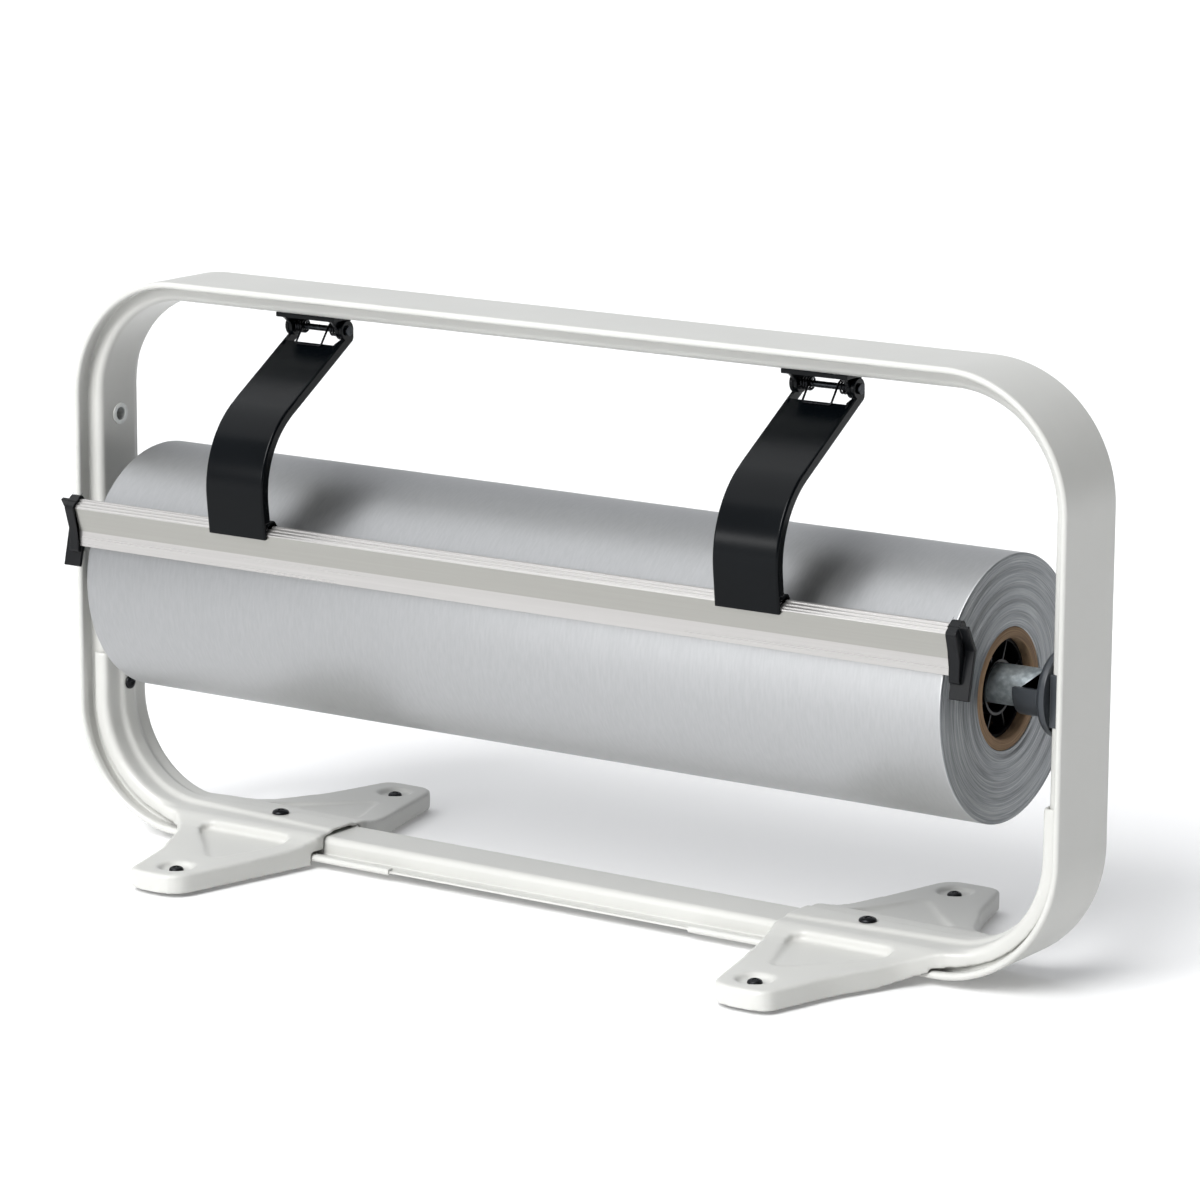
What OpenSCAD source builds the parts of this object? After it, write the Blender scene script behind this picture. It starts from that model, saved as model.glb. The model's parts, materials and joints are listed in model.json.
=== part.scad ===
// Counter-top roll dispenser. A bent steel frame stands on two pressed feet, a roll of foil
// turns on a tube in two open cradles, and a tear-off bar hangs on two sprung arms.
// X runs along the roll, Y from the front to the back and Z up. The origin lies on the
// counter, under the middle of the frame.

/* [Frame] */
// Distance from each end of the foil to the frame's outer face
end_space = 40.5; // [39:0.1:44]
// Height of the frame over its outer faces
frame_h = 289.7; // [286:0.1:300]
// Height of the frame's underside above the counter
frame_lift = 4; // [3.6:0.1:5]
// Depth of the frame from front to back
frame_depth = 48.5; // [46:0.5:52]
// Outer radius of the frame's four bends
corner_r = 65; // [60:1:68]
// Thickness of the outer strip
band_t = 1.1; // [0.9:0.05:1.15]
// Height of the rolled hems, from the strip's outer face
hem_h = 3.5; // [3.4:0.1:4]
// Reach of each hem over the brim of the lining
hem_reach = 4; // [3:0.1:5]
// Radius of the hems' rounded edges
hem_edge_r = 1.5; // [0.5:0.1:1.6]
// Thickness of the hat-shaped lining
lining_t = 1.1; // [0.9:0.05:1.15]
// Width of the hat
hat_w = 30; // [28:0.5:31]
// Height of the hat, from the strip's outer face to the hat's own face
hat_h = 11.06; // [10.5:0.01:12]
// Radius of the hat's two outer edges
hat_edge_r = 2.4; // [1.5:0.1:3]
// Gap between the lining and the strip that grips it
seam_gap = 0.05; // [0.02:0.01:0.1]
// Distance from the middle to each end of the strip
band_end_x = 90; // [70:1:110]
// Distance from the frame's side to each joint between rail and lining
rail_back = 101.5; // [92:0.5:106]

/* [Roll] */
// Length of the wound foil
roll_len = 502; // [480:1:510]
// Distance of the roll's axis below the frame's upper face
roll_drop = 151.5; // [150:0.1:153]
// Outer radius of the wound foil
roll_r = 63.73; // [58:0.01:64.5]
// Distance of the core's ends inside the foil's ends
core_inset = 0.8; // [0:0.1:4]
// Outer radius of the paper core
core_r = 29.16; // [28:0.01:32]
// Wall of the paper core
core_wall = 5.4; // [4:0.1:6]
// Outer radius of the tube that carries the roll
shaft_r = 9.6; // [9:0.1:10]
// Wall of the tube
shaft_wall = 1.5; // [1:0.1:3]
// Gap between the tube's end and the holder's disc
shaft_end_gap = 0.6; // [0.3:0.1:2]
// Radial running clearance of the tube in its cradles
shaft_clear = 0.05; // [0.02:0.01:0.1]
// Distance of the tube's axis above the roll's, which hangs on it
hang = 2.1; // [1.5:0.1:2.5]
// Distance of each hub from the end of the core
hub_inset = 5; // [2:0.5:12]
// Length of each hub along the tube
hub_len = 8; // [6:0.5:16]
// Wall of the hub's two rings
hub_wall = 1.5; // [1.2:0.1:2]
// Thickness of the hub's spokes
hub_spoke_t = 1.2; // [1:0.1:2.4]
// Number of the hub's spokes
hub_spokes = 8; // [6:1:12]
// Gap between nested round pieces of the roll
nest_gap = 0.05; // [0.02:0.01:0.1]

/* [Holders] */
// Radius of the holder's disc
disc_r = 21.1; // [19:0.1:23]
// Thickness of the disc from the frame's face inwards
disc_t = 5.5; // [3.5:0.1:6]
// Height of the block in the frame's cut-out
block_h = 24.9; // [24:0.1:30]
// Distance of the block's middle below the tube's axis
block_drop = 1.2; // [0:0.1:2]
// Depth of the block behind the hat's face
block_depth = 7; // [5:0.1:7.2]
// Reach of the cradle from the hat's face
cradle_reach = 21.4; // [18:0.1:24]
// Wall of the cradle below the tube
cradle_wall = 3.1; // [2:0.05:3.5]
// Height of the cradle's rims above the tube's axis
cradle_rim = 2.4; // [1:0.1:7]
// Height of the two inserts above the roll's axis
insert_rise = 75.6; // [70:0.1:82]
// Thread radius of the inserts in the frame's sides
insert_r = 3.4; // [2.5:0.1:3.6]
// Radius of the inserts' barrels
insert_barrel_r = 4.8; // [4.4:0.1:5]
// Length of the inserts below the hat's face
insert_len = 8; // [6:0.1:8.5]
// Radius of the inserts' rims
insert_rim_r = 5.6; // [5.3:0.1:7]
// Thickness of the inserts' rims
insert_rim_t = 0.9; // [0.5:0.1:1.5]

/* [Feet] */
// Thickness of the pressed sheet
foot_t = 1.8; // [1.5:0.1:1.9]
// Gap between a foot and the hat under it
foot_gap = 0.2; // [0.1:0.05:0.4]
// Height of the skirt's edge above the counter
skirt_z = 2; // [1.6:0.1:2.6]
// Gap between the frame's hems and the edges of the saddle and tongue
skirt_gap = 1.3; // [0.3:0.1:2]
// Length before the bend over which the skirt's edge rises to the tongue
skirt_rise = 16; // [10:0.5:24]
// Distance from the frame's side to the foot's end on the rail
foot_len = 155; // [150:1:160]
// Half width of the foot's straight end on the rail
foot_end_half = 20; // [19:0.5:24]
// Distance from the frame's side to the toes' screws
toe_back = 120; // [117:0.5:123]
// Distance of the toes' screws from the middle plane
toe_y = 92; // [88:0.5:96]
// Distance from the toes' screws to the tip of the toes
toe_tip = 18; // [16:0.5:22]
// Distance that the toes' inner edge stands in towards the screws
toe_waist = 3.4; // [1:0.1:5]
// Distance of the outer edge's middle from the bend, along the rail
edge_mid_back = 26.5; // [24:0.5:28]
// Width of the foot beside the saddle at the outer edge's middle
edge_mid_out = 52.5; // [48:0.5:56]
// Distance of the outer edge's root from the bend, along the rail
edge_root_back = 11; // [8:0.5:14]
// Width of the foot beside the saddle at the outer edge's root
edge_root_out = 18.5; // [14:0.5:22]
// Distance of the triangular recesses from the saddle
lobe_rim = 6.5; // [5:0.5:9]
// Distance of the triangular recesses from the foot's straight end
lobe_side = 12; // [10:0.5:16]
// Distance from the toes' screws to the apex of the triangular recesses
lobe_apex = 19; // [17:0.5:24]
// Half width of the toes
toe_half = 16.9; // [16:0.1:20]
// Radius of the toes' corners
toe_corner_r = 12; // [10:0.5:14]
// Height of the toes' top face
toe_z = 11.7; // [11.2:0.1:13]
// Height of the floor round the toes' screws
toe_floor_z = 9.4; // [8.8:0.1:10.5]
// Radius of the floor round the toes' screws
toe_floor_r = 8.5; // [7:0.1:10]
// Height of the floor of the triangular recesses
lobe_floor_z = 11; // [10.6:0.1:11.2]
// Width over which the foot's surface falls from the saddle to the toes
fall_w = 11; // [7:0.5:16]
// Height of the tongue's upper end
tongue_z = 93; // [88:0.5:100]
// Height of the tongue's screw
tongue_screw_z = 75; // [72:0.5:82]
// Radius of the saddle's and tongue's long edges
saddle_edge_r = 3; // [2:0.1:4]
// Height of the ridge on the tongue
ridge_h = 2; // [1:0.1:3]
// Half width of the ridge's base on the tongue
ridge_half = 6; // [4:0.1:8]
// Height of the ridge at the rail
saddle_ridge_h = 1.2; // [0.6:0.1:2]
// Half width of the ridge's base at the rail
saddle_ridge_half = 11; // [8:0.1:13]
// Width of the ridge's sloping sides
ridge_slope = 1.6; // [0.8:0.1:2.5]
// Distance from the frame's side to the centre screws
centre_back = 114.7; // [112:0.1:120]
// Radius of the rubber pads
pad_r = 9.5; // [8:0.1:10]

/* [Arms] */
// Distance from the middle to each arm
arm_x = 149.5; // [130:0.5:180]
// Width of the arms
arm_w = 35.8; // [35.4:0.1:42]
// Thickness of the arms' face
arm_t = 1.8; // [1.4:0.1:2]
// Depth of the arms' side flanges
flange_depth = 5.2; // [4.5:0.1:8]
// Width of the arms' side flanges
flange_t = 2.15; // [1.6:0.05:2.2]
// Radius of the arms' bent face
arm_r = 48.5; // [47.5:0.1:50]
// Height of the hinge's axis below the hat's face
hinge_drop = 7.9; // [7.6:0.1:9]
// Height of the hinge's axis over the arms' face
hinge_over_face = 2; // [1.6:0.1:2.2]
// Distance from the hinge to the upper end of the arms' face
face_end = 9.5; // [8.5:0.1:10]
// Length of the straight part of the arms from the hinge
arm_straight = 57.6; // [56:0.1:60]
// Slope of the straight part of the arms
arm_slope = 32; // [28:0.1:36]
// Angle through which the arms' face bends
arm_bend = 64.6; // [63:0.1:66]
// Length of the straight end of the arms below the bend
arm_tail = 17.4; // [15:0.1:19]
// Radius of the arms' ears
ear_r = 5.1; // [4:0.1:5.2]
// Distance from the arms' tip to the end of their flanges
flange_stop = 8; // [7:0.1:10]
// Width of the claws that grip the bar's bead
claw_w = 7; // [5:0.5:9]
// Thickness of the claws round the bead
claw_t = 1.8; // [1.4:0.1:2.2]
// Reach of the claws under the bead
claw_reach = 1.2; // [0.8:0.1:1.4]
// Gap between the claws and the bead
claw_gap = 0.3; // [0.2:0.05:0.4]

/* [Tear bar] */
// Gap between the tear bar and the foil
bar_gap = 0.4; // [0.3:0.05:0.8]
// Distance that the tear bar stands past each end of the foil
bar_over = 7.4; // [5:0.1:9]
// Height of the bar's top edge above the arms' tip
bar_rise = 2.4; // [2:0.1:2.8]
// Distance of the bar's top edge behind the arms' tip
bar_set_back = 1.4; // [1:0.1:1.8]
// Height of the bar's sloping web
web_h = 12.4; // [11:0.1:14]
// Lean of the web over its height
web_lean = 3.8; // [3:0.1:5]
// Height of the bar's lip
lip_h = 7.8; // [6:0.1:9]
// Thickness of the bar's web and lip
lip_t = 1.7; // [1.2:0.1:2]
// Depth of the bar's bead from front to back
bead_depth = 5.5; // [5:0.1:6]
// Rise of the bead from front to back
bead_rise = 4.2; // [3.5:0.1:4.6]
// Thickness of the bead
bead_t = 2.2; // [1.8:0.1:2.4]
// Radius of the ribs on the bead
rib_r = 0.45; // [0.2:0.05:0.6]
// Length of each cap's collar
cap_len = 5.6; // [5:0.1:8]
// Depth of the bar's seat in each cap
cap_seat = 3.2; // [2:0.1:4]
// Wall of each cap round the bar
cap_wall = 1.7; // [1.2:0.1:2]
// Reach of each cap's collar below its wall under the bar
cap_drop = 1.8; // [1:0.1:3]
// Gap between the caps and the bar
cap_gap = 0.15; // [0.05:0.05:0.2]
// Width of each cap's finger tab
tab_w = 10.2; // [9:0.1:13]
// Thickness of each cap's finger tab
tab_t = 2; // [1.5:0.1:3]
// Reach of each tab below the bar
tab_reach = 10.9; // [8:0.1:13]
// Distance of each tab's bend behind the web
tab_set_back = 5.2; // [4.6:0.1:6]

/* [Hinges] */
// Distance that the brackets' top plates stand past the arms on each side
bracket_over = 0.3; // [0.1:0.1:3]
// Thickness of the brackets' sheet
bracket_t = 2.3; // [1.8:0.1:2.4]
// Thickness of the brackets' cheeks
cheek_t = 2; // [1.5:0.1:2.2]
// Side gap between the brackets' cheeks and the arms' ears
cheek_gap = 0.2; // [0.1:0.05:0.3]
// Radius of the brackets' cheeks round the pin
cheek_r = 5; // [4:0.1:5.2]
// Distance from the hinge to the front edge of the brackets
bracket_front = 12; // [8.5:0.1:12.5]
// Distance from the hinge to the rear edge of the brackets
bracket_rear = 8; // [7.5:0.1:12]
// Radius of the hinge pins
pin_r = 1.6; // [1.2:0.05:1.8]
// Radial clearance of the hinge pins
pin_clear = 0.05; // [0.02:0.01:0.1]
// Radius of the pins' heads
pin_head_r = 2.6; // [2.2:0.1:3.4]
// Thickness of the pins' heads
pin_head_t = 1.1; // [0.8:0.1:1.6]
// Diameter of the springs' wire
wire_d = 1.1; // [0.9:0.05:1.15]
// Mean radius of the springs' turns
coil_r = 3; // [2.8:0.1:3.3]
// Distance from one turn of a spring to the next
coil_pitch = 1.55; // [1.54:0.01:1.6]
// Whole turns on each side of a spring
coil_turns = 3; // [2:1:3]
// Gap between a spring and the bracket's cheek
coil_side_gap = 0.3; // [0.2:0.05:0.5]
// Distance from the hinge to the spring's bail
bail_reach = 11.8; // [10.5:0.1:12.5]
// Distance of each bracket screw from the arm's middle
bracket_screw_dx = 5.2; // [4.9:0.1:5.4]
// Distance of the bracket screws behind the hinge
bracket_screw_y = 3; // [1:0.1:5]

/* [Screws] */
// Shank radius of the toe and tongue screws
screw_r = 1.9; // [1.5:0.1:2.2]
// Head radius of the toe and tongue screws
screw_head_r = 3.65; // [3.2:0.05:4.5]
// Head height of the toe and tongue screws
screw_head_h = 2.3; // [1.8:0.1:3]
// Shank radius of the centre screws
centre_r = 2.4; // [2:0.1:2.6]
// Head radius of the centre screws
centre_head_r = 4.4; // [4:0.1:5]
// Head height of the centre screws
centre_head_h = 2.3; // [1.8:0.1:3]
// Shank radius of the bracket screws
bracket_screw_r = 1.45; // [1.2:0.05:1.7]
// Head radius of the bracket screws
bracket_head_r = 2.6; // [2.2:0.05:2.8]
// Head height of the bracket screws
bracket_head_h = 1.6; // [1:0.1:1.6]
// Radial clearance of the screws' holes
screw_clear = 0.1; // [0.05:0.01:0.2]
// Height of the clinch nuts under their sheet
nut_h = 3.6; // [2.5:0.1:4]
// Outer radius of the clinch nuts
nut_r = 4.6; // [4.2:0.1:5.5]
// Width of the cross recess in the screws' heads
cross_w = 0.9; // [0.6:0.1:1.2]

/* [Hidden] */

white = "#e4e3de";
black = "#1b1c1e";
steel = "#9aa2a8";
aluminium = "#c9c7c2";

frame_w = roll_len + 2 * end_space;
half_w = frame_w / 2;
half_d = frame_depth / 2;
frame_top = frame_lift + frame_h;
roll_z = frame_top - roll_drop;
shaft_z = roll_z + hang;
rail_end_x = half_w - rail_back;
corner_x = half_w - corner_r;
low_corner_z = frame_lift + corner_r;
high_corner_z = frame_top - corner_r;
hat_x = half_w - hat_h;
brim_v = band_t + seam_gap;
brim_half = half_d - band_t - 0.1;
cut = 1;
round_fn = 48;
small_fn = 24;

hinge_z = frame_top - hat_h - hinge_drop;
plate_z = frame_top - hat_h - bracket_t;
ear_in = arm_w / 2 - flange_t;
cheek_out = ear_in - cheek_gap;
coil_out = cheek_out - cheek_t - coil_side_gap - wire_d / 2;

// The arms, bar and caps are drawn in (y, z) from the hinge's axis, at the slope below
face_dir = [-cos(arm_slope), -sin(arm_slope)];
face_up = [-sin(arm_slope), cos(arm_slope)];
face_start = -hinge_over_face * face_up;
bend_start = face_start + arm_straight * face_dir;
bend_centre = bend_start - arm_r * face_up;
bend_from = 90 + arm_slope;
bend_to = bend_from + arm_bend;
tail_dir = [-sin(bend_to), cos(bend_to)];
tip = bend_centre + arm_r * [cos(bend_to), sin(bend_to)] + arm_tail * tail_dir;
// The tear bar hangs from the arms' tip
bar_top = tip + [bar_set_back, bar_rise];
web_run = [web_lean, -web_h];
bead_run = [bead_depth, bead_rise];
bar_knee = bar_top + web_run;
bar_foot = bar_knee + [0, -lip_h];
lip_corner = bar_foot + [lip_t, 0];

// The arms rest where the bar's lower edge meets the foil
hinge_to_axis = hinge_z - roll_z;
hinge_to_lip = norm(lip_corner);
rest_angle = acos((hinge_to_lip ^ 2 + hinge_to_axis ^ 2 - (roll_r + bar_gap) ^ 2)
                  / (2 * hinge_to_lip * hinge_to_axis));
drawn_angle = atan2(-lip_corner[0], -lip_corner[1]);
rest_turn = drawn_angle - rest_angle;

bar_half = roll_len / 2 + bar_over;
cap_from = bar_half - cap_seat;

function unit(v) = v / norm(v);
function left_of(v) = [-v[1], v[0]];
function turned(v, a) = [v[0] * cos(a) - v[1] * sin(a), v[0] * sin(a) + v[1] * cos(a)];
function on_circle(c, r, a) = c + r * [cos(a), sin(a)];
function arc(c, r, from, to, n) = [for (i = [0:n]) on_circle(c, r, from + (to - from) * i / n)];
function mirrored(points) = [for (i = [len(points) - 1:-1:0])
    [points[i][0], -points[i][1], points[i][2]]];

// Points of one corner of a counter-clockwise outline of [x, y, radius] points, moved in by d
function corner_points(p, q, s, d, n) =
    let (a = left_of(unit([q[0] - p[0], q[1] - p[1]])),
         b = left_of(unit([s[0] - q[0], s[1] - q[1]])),
         m = (a + b) / (1 + a * b),
         bend = atan2(a[0] * b[1] - a[1] * b[0], a * b),
         r = sign(bend) * q[2],
         c = [q[0], q[1]] + r * m)
    q[2] == 0 ? [c + d * m]
              : [for (i = [0:n]) c - (r - d) * turned(a, bend * i / n)];
function rounded(points, d = 0, n = 4) =
    let (k = len(points))
    [for (i = [0:k - 1])
        each corner_points(points[(i + k - 1) % k], points[i], points[(i + 1) % k], d, n)];

// Outline of a sheet of thickness t along a path
function sheet(path, t) =
    let (n = len(path) - 1,
         ways = [for (i = [0:n - 1]) left_of(unit(path[i + 1] - path[i]))],
         sides = [for (i = [0:n]) i == 0 ? ways[0] : i == n ? ways[n - 1]
                  : (ways[i - 1] + ways[i]) / (1 + ways[i - 1] * ways[i])])
    concat([for (i = [0:n]) path[i] - sides[i] * t / 2],
           [for (i = [n:-1:0]) path[i] + sides[i] * t / 2]);

module both_sides() {
    children();
    mirror([1, 0, 0]) children();
}

// A cylinder along X from x0 to x1
module rod_x(r, x0, x1, fn = round_fn) {
    translate([x0, 0, 0]) rotate([0, 90, 0]) cylinder(r = r, h = x1 - x0, $fn = fn);
}

// A (y, z) outline drawn out along X from x0 to x1
module along_x(x0, x1) {
    translate([x0, 0, 0]) rotate([90, 0, 90]) linear_extrude(height = x1 - x0) children();
}

// Runs of a section drawn as (-depth from the outer face, y)
module bottom_run(x0, x1) {
    translate([x1, 0, frame_lift]) mirror([0, 0, 1]) rotate([0, -90, 0])
        linear_extrude(height = x1 - x0) children();
}

module top_run(x0, x1) {
    translate([x1, 0, frame_top]) rotate([0, -90, 0])
        linear_extrude(height = x1 - x0) children();
}

module side_run(z0, z1) {
    translate([half_w, 0, z0]) linear_extrude(height = z1 - z0) children();
}

module low_bend() {
    translate([corner_x, 0, low_corner_z]) rotate([90, 0, 0]) rotate([0, 0, -90])
        rotate_extrude(angle = 90, $fn = 96) translate([corner_r, 0]) children();
}

module high_bend() {
    translate([corner_x, 0, high_corner_z]) rotate([90, 0, 0])
        rotate_extrude(angle = 90, $fn = 96) translate([corner_r, 0]) children();
}

// The frame's right half from the bottom at x0 round to the middle of the top
module half_frame(x0) {
    bottom_run(x0, corner_x) children();
    low_bend() children();
    side_run(low_corner_z, high_corner_z) children();
    high_bend() children();
    top_run(-cut, corner_x) children();
}

module band_section() {
    difference() {
        polygon(rounded([[-hem_h, -half_d, hem_edge_r], [0, -half_d, hem_edge_r],
                         [0, half_d, hem_edge_r], [-hem_h, half_d, hem_edge_r]]));
        translate([-hem_h + band_t, -half_d + band_t])
            square([hem_h - 2 * band_t, 2 * (half_d - band_t)]);
        translate([-hem_h - cut, -half_d + hem_reach])
            square([hem_h + cut - band_t, 2 * (half_d - hem_reach)]);
    }
}

// A hat's outline between the depths v0 and v1
module hat_outline(half, v0, v1, r) {
    polygon(rounded([[-v0, -half, 0], [-v0, half, 0], [-v1, half, r], [-v1, -half, r]], 0, 5));
}

module lining_section() {
    difference() {
        union() {
            hat_outline(hat_w / 2, brim_v, hat_h, hat_edge_r);
            translate([-brim_v - lining_t, -brim_half]) square([lining_t, 2 * brim_half]);
        }
        hat_outline(hat_w / 2 - lining_t, brim_v - cut, hat_h - lining_t,
                    hat_edge_r - lining_t);
    }
}

block_z = shaft_z - block_drop - block_h / 2;

module outer_band() {
    color(white) both_sides() half_frame(band_end_x) band_section();
}

module inner_channel() {
    color(white) difference() {
        both_sides() half_frame(rail_end_x + seam_gap) lining_section();
        both_sides() {
            translate([hat_x - cut, -half_d, block_z - screw_clear])
                cube([block_depth + cut + screw_clear, frame_depth,
                      block_h + 2 * screw_clear]);
            translate([0, 0, roll_z + insert_rise])
                rod_x(insert_barrel_r + screw_clear, hat_x - cut, hat_x + lining_t + cut);
            translate([0, 0, tongue_screw_z])
                rod_x(screw_r + screw_clear, hat_x - cut, hat_x + lining_t + cut);
            bracket_screw_places()
                cylinder(r = bracket_screw_r + screw_clear, h = 3 * (lining_t + cut),
                         center = true, $fn = small_fn);
        }
    }
}

module base_rail() {
    color(white) difference() {
        bottom_run(-rail_end_x, rail_end_x) lining_section();
        centre_places()
            cylinder(r = centre_r + screw_clear, h = hat_h + cut, $fn = small_fn);
    }
}

// The places of the fasteners, each for the right side only or for both
module centre_places() {
    both_sides() translate([half_w - centre_back, 0, frame_lift + band_t]) children();
}

module toe_places() {
    both_sides() for (s = [-1, 1])
        translate([half_w - toe_back, s * toe_y, 0]) children();
}

module bracket_screw_places() {
    for (s = [-1, 1])
        translate([arm_x + s * bracket_screw_dx, bracket_screw_y, frame_top - hat_h])
            children();
}

// Feet, drawn for the right side
foot_half = hat_w / 2 + foot_gap + foot_t;
foot_v = hat_h + foot_gap + foot_t;
saddle_z = frame_lift + foot_v;
skirt_v = hem_h + skirt_gap;
foot_x0 = half_w - foot_len;
toe_x = half_w - toe_back;
toe_end = toe_y + toe_tip;
foot_front = [[foot_x0, -foot_end_half, 0],
              [toe_x - toe_half + toe_waist, -toe_end, toe_corner_r],
              [toe_x + toe_half, -toe_end, toe_corner_r - 3],
              [corner_x - edge_mid_back, -foot_half - edge_mid_out, 60],
              [corner_x - edge_root_back, -foot_half - edge_root_out, 40],
              [corner_x + 3, -foot_half - edge_root_out / 5, 20],
              [corner_x + 19.5, -foot_half, 0]];
foot_outline = concat(foot_front, mirrored(foot_front));
lobe_y = -foot_half - lobe_rim;
lobe = [[foot_x0 + lobe_side, lobe_y, 6], [toe_x - 5, -toe_y + lobe_apex, 5],
        [corner_x - 14, lobe_y, 5]];

// Height of the foot's surface at y: flat over the rail and falling towards the toes
function foot_z(y) = toe_z + (saddle_z - toe_z)
    / (1 + (max(0, abs(y) - foot_half) / fall_w) ^ 2);

// The plate without its recesses, drawn smaller by d all round
module foot_plate(d) {
    low = d > 0 ? skirt_z - cut : skirt_z;
    steps = 10;
    span = toe_end + cut - foot_half;
    falls = [for (i = [0:steps]) foot_half + span * (i / steps) ^ 2];
    ys = concat([for (i = [steps:-1:0]) falls[i]], [for (y = falls) -y]);
    intersection() {
        translate([0, 0, low]) linear_extrude(height = 2 * saddle_z)
            polygon(rounded(foot_outline, d));
        along_x(foot_x0 - cut, half_w)
            polygon(concat([[-toe_end - cut, low - cut], [toe_end + cut, low - cut]],
                           [for (y = ys) [y, foot_z(y) - d]]));
    }
}

module foot_recesses(d) {
    for (s = [0, 1]) mirror([0, s, 0]) {
        translate([0, 0, lobe_floor_z - d]) linear_extrude(height = saddle_z)
            polygon(rounded(lobe, -d));
        translate([toe_x, -toe_y, toe_floor_z - d])
            cylinder(r = toe_floor_r + d, h = saddle_z, $fn = round_fn);
    }
}

module ridge_section(d) {
    polygon([[-hat_h + foot_t, -ridge_half + d], [-hat_h + foot_t, ridge_half - d],
             [-foot_v + d, ridge_half - d],
             [-foot_v - ridge_h + d, ridge_half - ridge_slope - d],
             [-foot_v - ridge_h + d, -ridge_half + ridge_slope + d],
             [-foot_v + d, -ridge_half + d]]);
}

// One end of the ridge over the rail, as points round its section at x
function ridge_end(x, half, h, d) = [[x, -half + d, saddle_z - foot_t - d],
    [x, half - d, saddle_z - foot_t - d], [x, half - d, saddle_z - d],
    [x, half - ridge_slope - d, saddle_z + h - d],
    [x, -half + ridge_slope + d, saddle_z + h - d], [x, -half + d, saddle_z - d]];

// The ridge over the rail, which narrows and rises towards the bend
module saddle_ridge(x0, d) {
    points = concat(ridge_end(x0, saddle_ridge_half, saddle_ridge_h, d),
                    ridge_end(corner_x, ridge_half, ridge_h, d));
    sides = [for (i = [0:5]) let (j = (i + 1) % 6) each [[i, i + 6, j + 6], [i, j + 6, j]]];
    polyhedron(points = points,
               faces = concat([[0, 1, 2, 3, 4, 5]], [[11, 10, 9, 8, 7, 6]], sides));
}

// The whole outside of a foot, drawn smaller by d all round
module foot_volume(d) {
    more = d > 0 ? cut : 0;
    low_v = d > 0 ? skirt_v - 2 * cut : skirt_v;
    difference() {
        foot_plate(d);
        foot_recesses(d);
    }
    bottom_run(foot_x0 - more, corner_x)
        hat_outline(foot_half - d, low_v, foot_v - d, saddle_edge_r - d);
    low_bend() hat_outline(foot_half - d, low_v, foot_v - d, saddle_edge_r - d);
    side_run(low_corner_z, tongue_z + more)
        hat_outline(foot_half - d, low_v, foot_v - d, saddle_edge_r - d);
    saddle_ridge(foot_x0 - more, d);
    low_bend() ridge_section(d);
    side_run(low_corner_z, tongue_z + more) ridge_section(d);
}

// The space below the edge where the skirt rises and then follows the bend
module under_skirt() {
    edge_r = corner_r - skirt_v + 0.2;
    translate([0, toe_end + cut, 0]) rotate([90, 0, 0])
        linear_extrude(height = 2 * (toe_end + cut))
            polygon(concat([[corner_x - skirt_rise, skirt_z - 2 * cut],
                            [half_w, skirt_z - 2 * cut]],
                           [[half_w, on_circle([0, low_corner_z], edge_r, 310)[1]]],
                           arc([corner_x, low_corner_z], edge_r, 310, 274, 6),
                           [[corner_x - skirt_rise, skirt_z]]));
}

// The space that the frame takes up under a foot
module frame_space() {
    polygon([[20, -half_d - 0.3], [20, half_d + 0.3], [-skirt_v, half_d + 0.3],
             [-skirt_v, hat_w / 2 + foot_gap], [-hat_h - foot_gap, hat_w / 2 + foot_gap],
             [-hat_h - foot_gap, -hat_w / 2 - foot_gap], [-skirt_v, -hat_w / 2 - foot_gap],
             [-skirt_v, -half_d - 0.3]]);
}

module foot() {
    color(white) difference() {
        foot_volume(0);
        foot_volume(foot_t);
        under_skirt();
        bottom_run(foot_x0 - cut, corner_x) frame_space();
        low_bend() frame_space();
        translate([half_w - centre_back, 0, 0])
            cylinder(r = centre_r + screw_clear, h = 2 * saddle_z, $fn = small_fn);
        for (s = [-1, 1]) translate([toe_x, s * toe_y, 0])
            cylinder(r = screw_r + screw_clear, h = 2 * saddle_z, $fn = small_fn);
        translate([0, 0, tongue_screw_z])
            rod_x(screw_r + screw_clear, hat_x - 4 * foot_t, half_w, small_fn);
    }
}

module left_foot() {
    mirror([1, 0, 0]) foot();
}

module right_foot() {
    foot();
}

// A screw with a domed cross-recess head whose seat is at z = 0, its shank pointing down
module screw(r, head_r, head_h, len) {
    difference() {
        union() {
            rotate_extrude($fn = small_fn)
                polygon(concat([[0, 0], [head_r, 0], [head_r, head_h * 0.25]],
                               [for (i = [1:4]) [head_r * cos(22.5 * i),
                                   head_h * (0.25 + 0.75 * sin(22.5 * i))]]));
            translate([0, 0, -len]) cylinder(r = r, h = len + head_h / 2, $fn = small_fn);
        }
        for (a = [0, 90]) rotate([0, 0, a])
            translate([-head_r / 2, -cross_w / 2, head_h * 0.55])
                cube([head_r, cross_w, head_h]);
    }
}

module toe_screws() {
    color(black) toe_places() translate([0, 0, toe_floor_z])
        screw(screw_r, screw_head_r, screw_head_h, toe_floor_z - 2.4);
}

// Height of the ridge's rising face at the higher side of the centre screws' heads
centre_seat = saddle_z + saddle_ridge_h + (ridge_h - saddle_ridge_h)
    * (foot_len - centre_back + centre_head_r) / (foot_len - corner_r);

module centre_screws() {
    color(black) both_sides() translate([half_w - centre_back, 0, centre_seat])
        screw(centre_r, centre_head_r, centre_head_h,
              centre_seat - frame_lift - band_t - 1.5);
}

module tongue_screws() {
    color(black) both_sides()
        translate([half_w - foot_v - ridge_h, 0, tongue_screw_z]) rotate([0, -90, 0])
            screw(screw_r, screw_head_r, screw_head_h, foot_v + ridge_h - band_t - 1.5);
}

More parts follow.
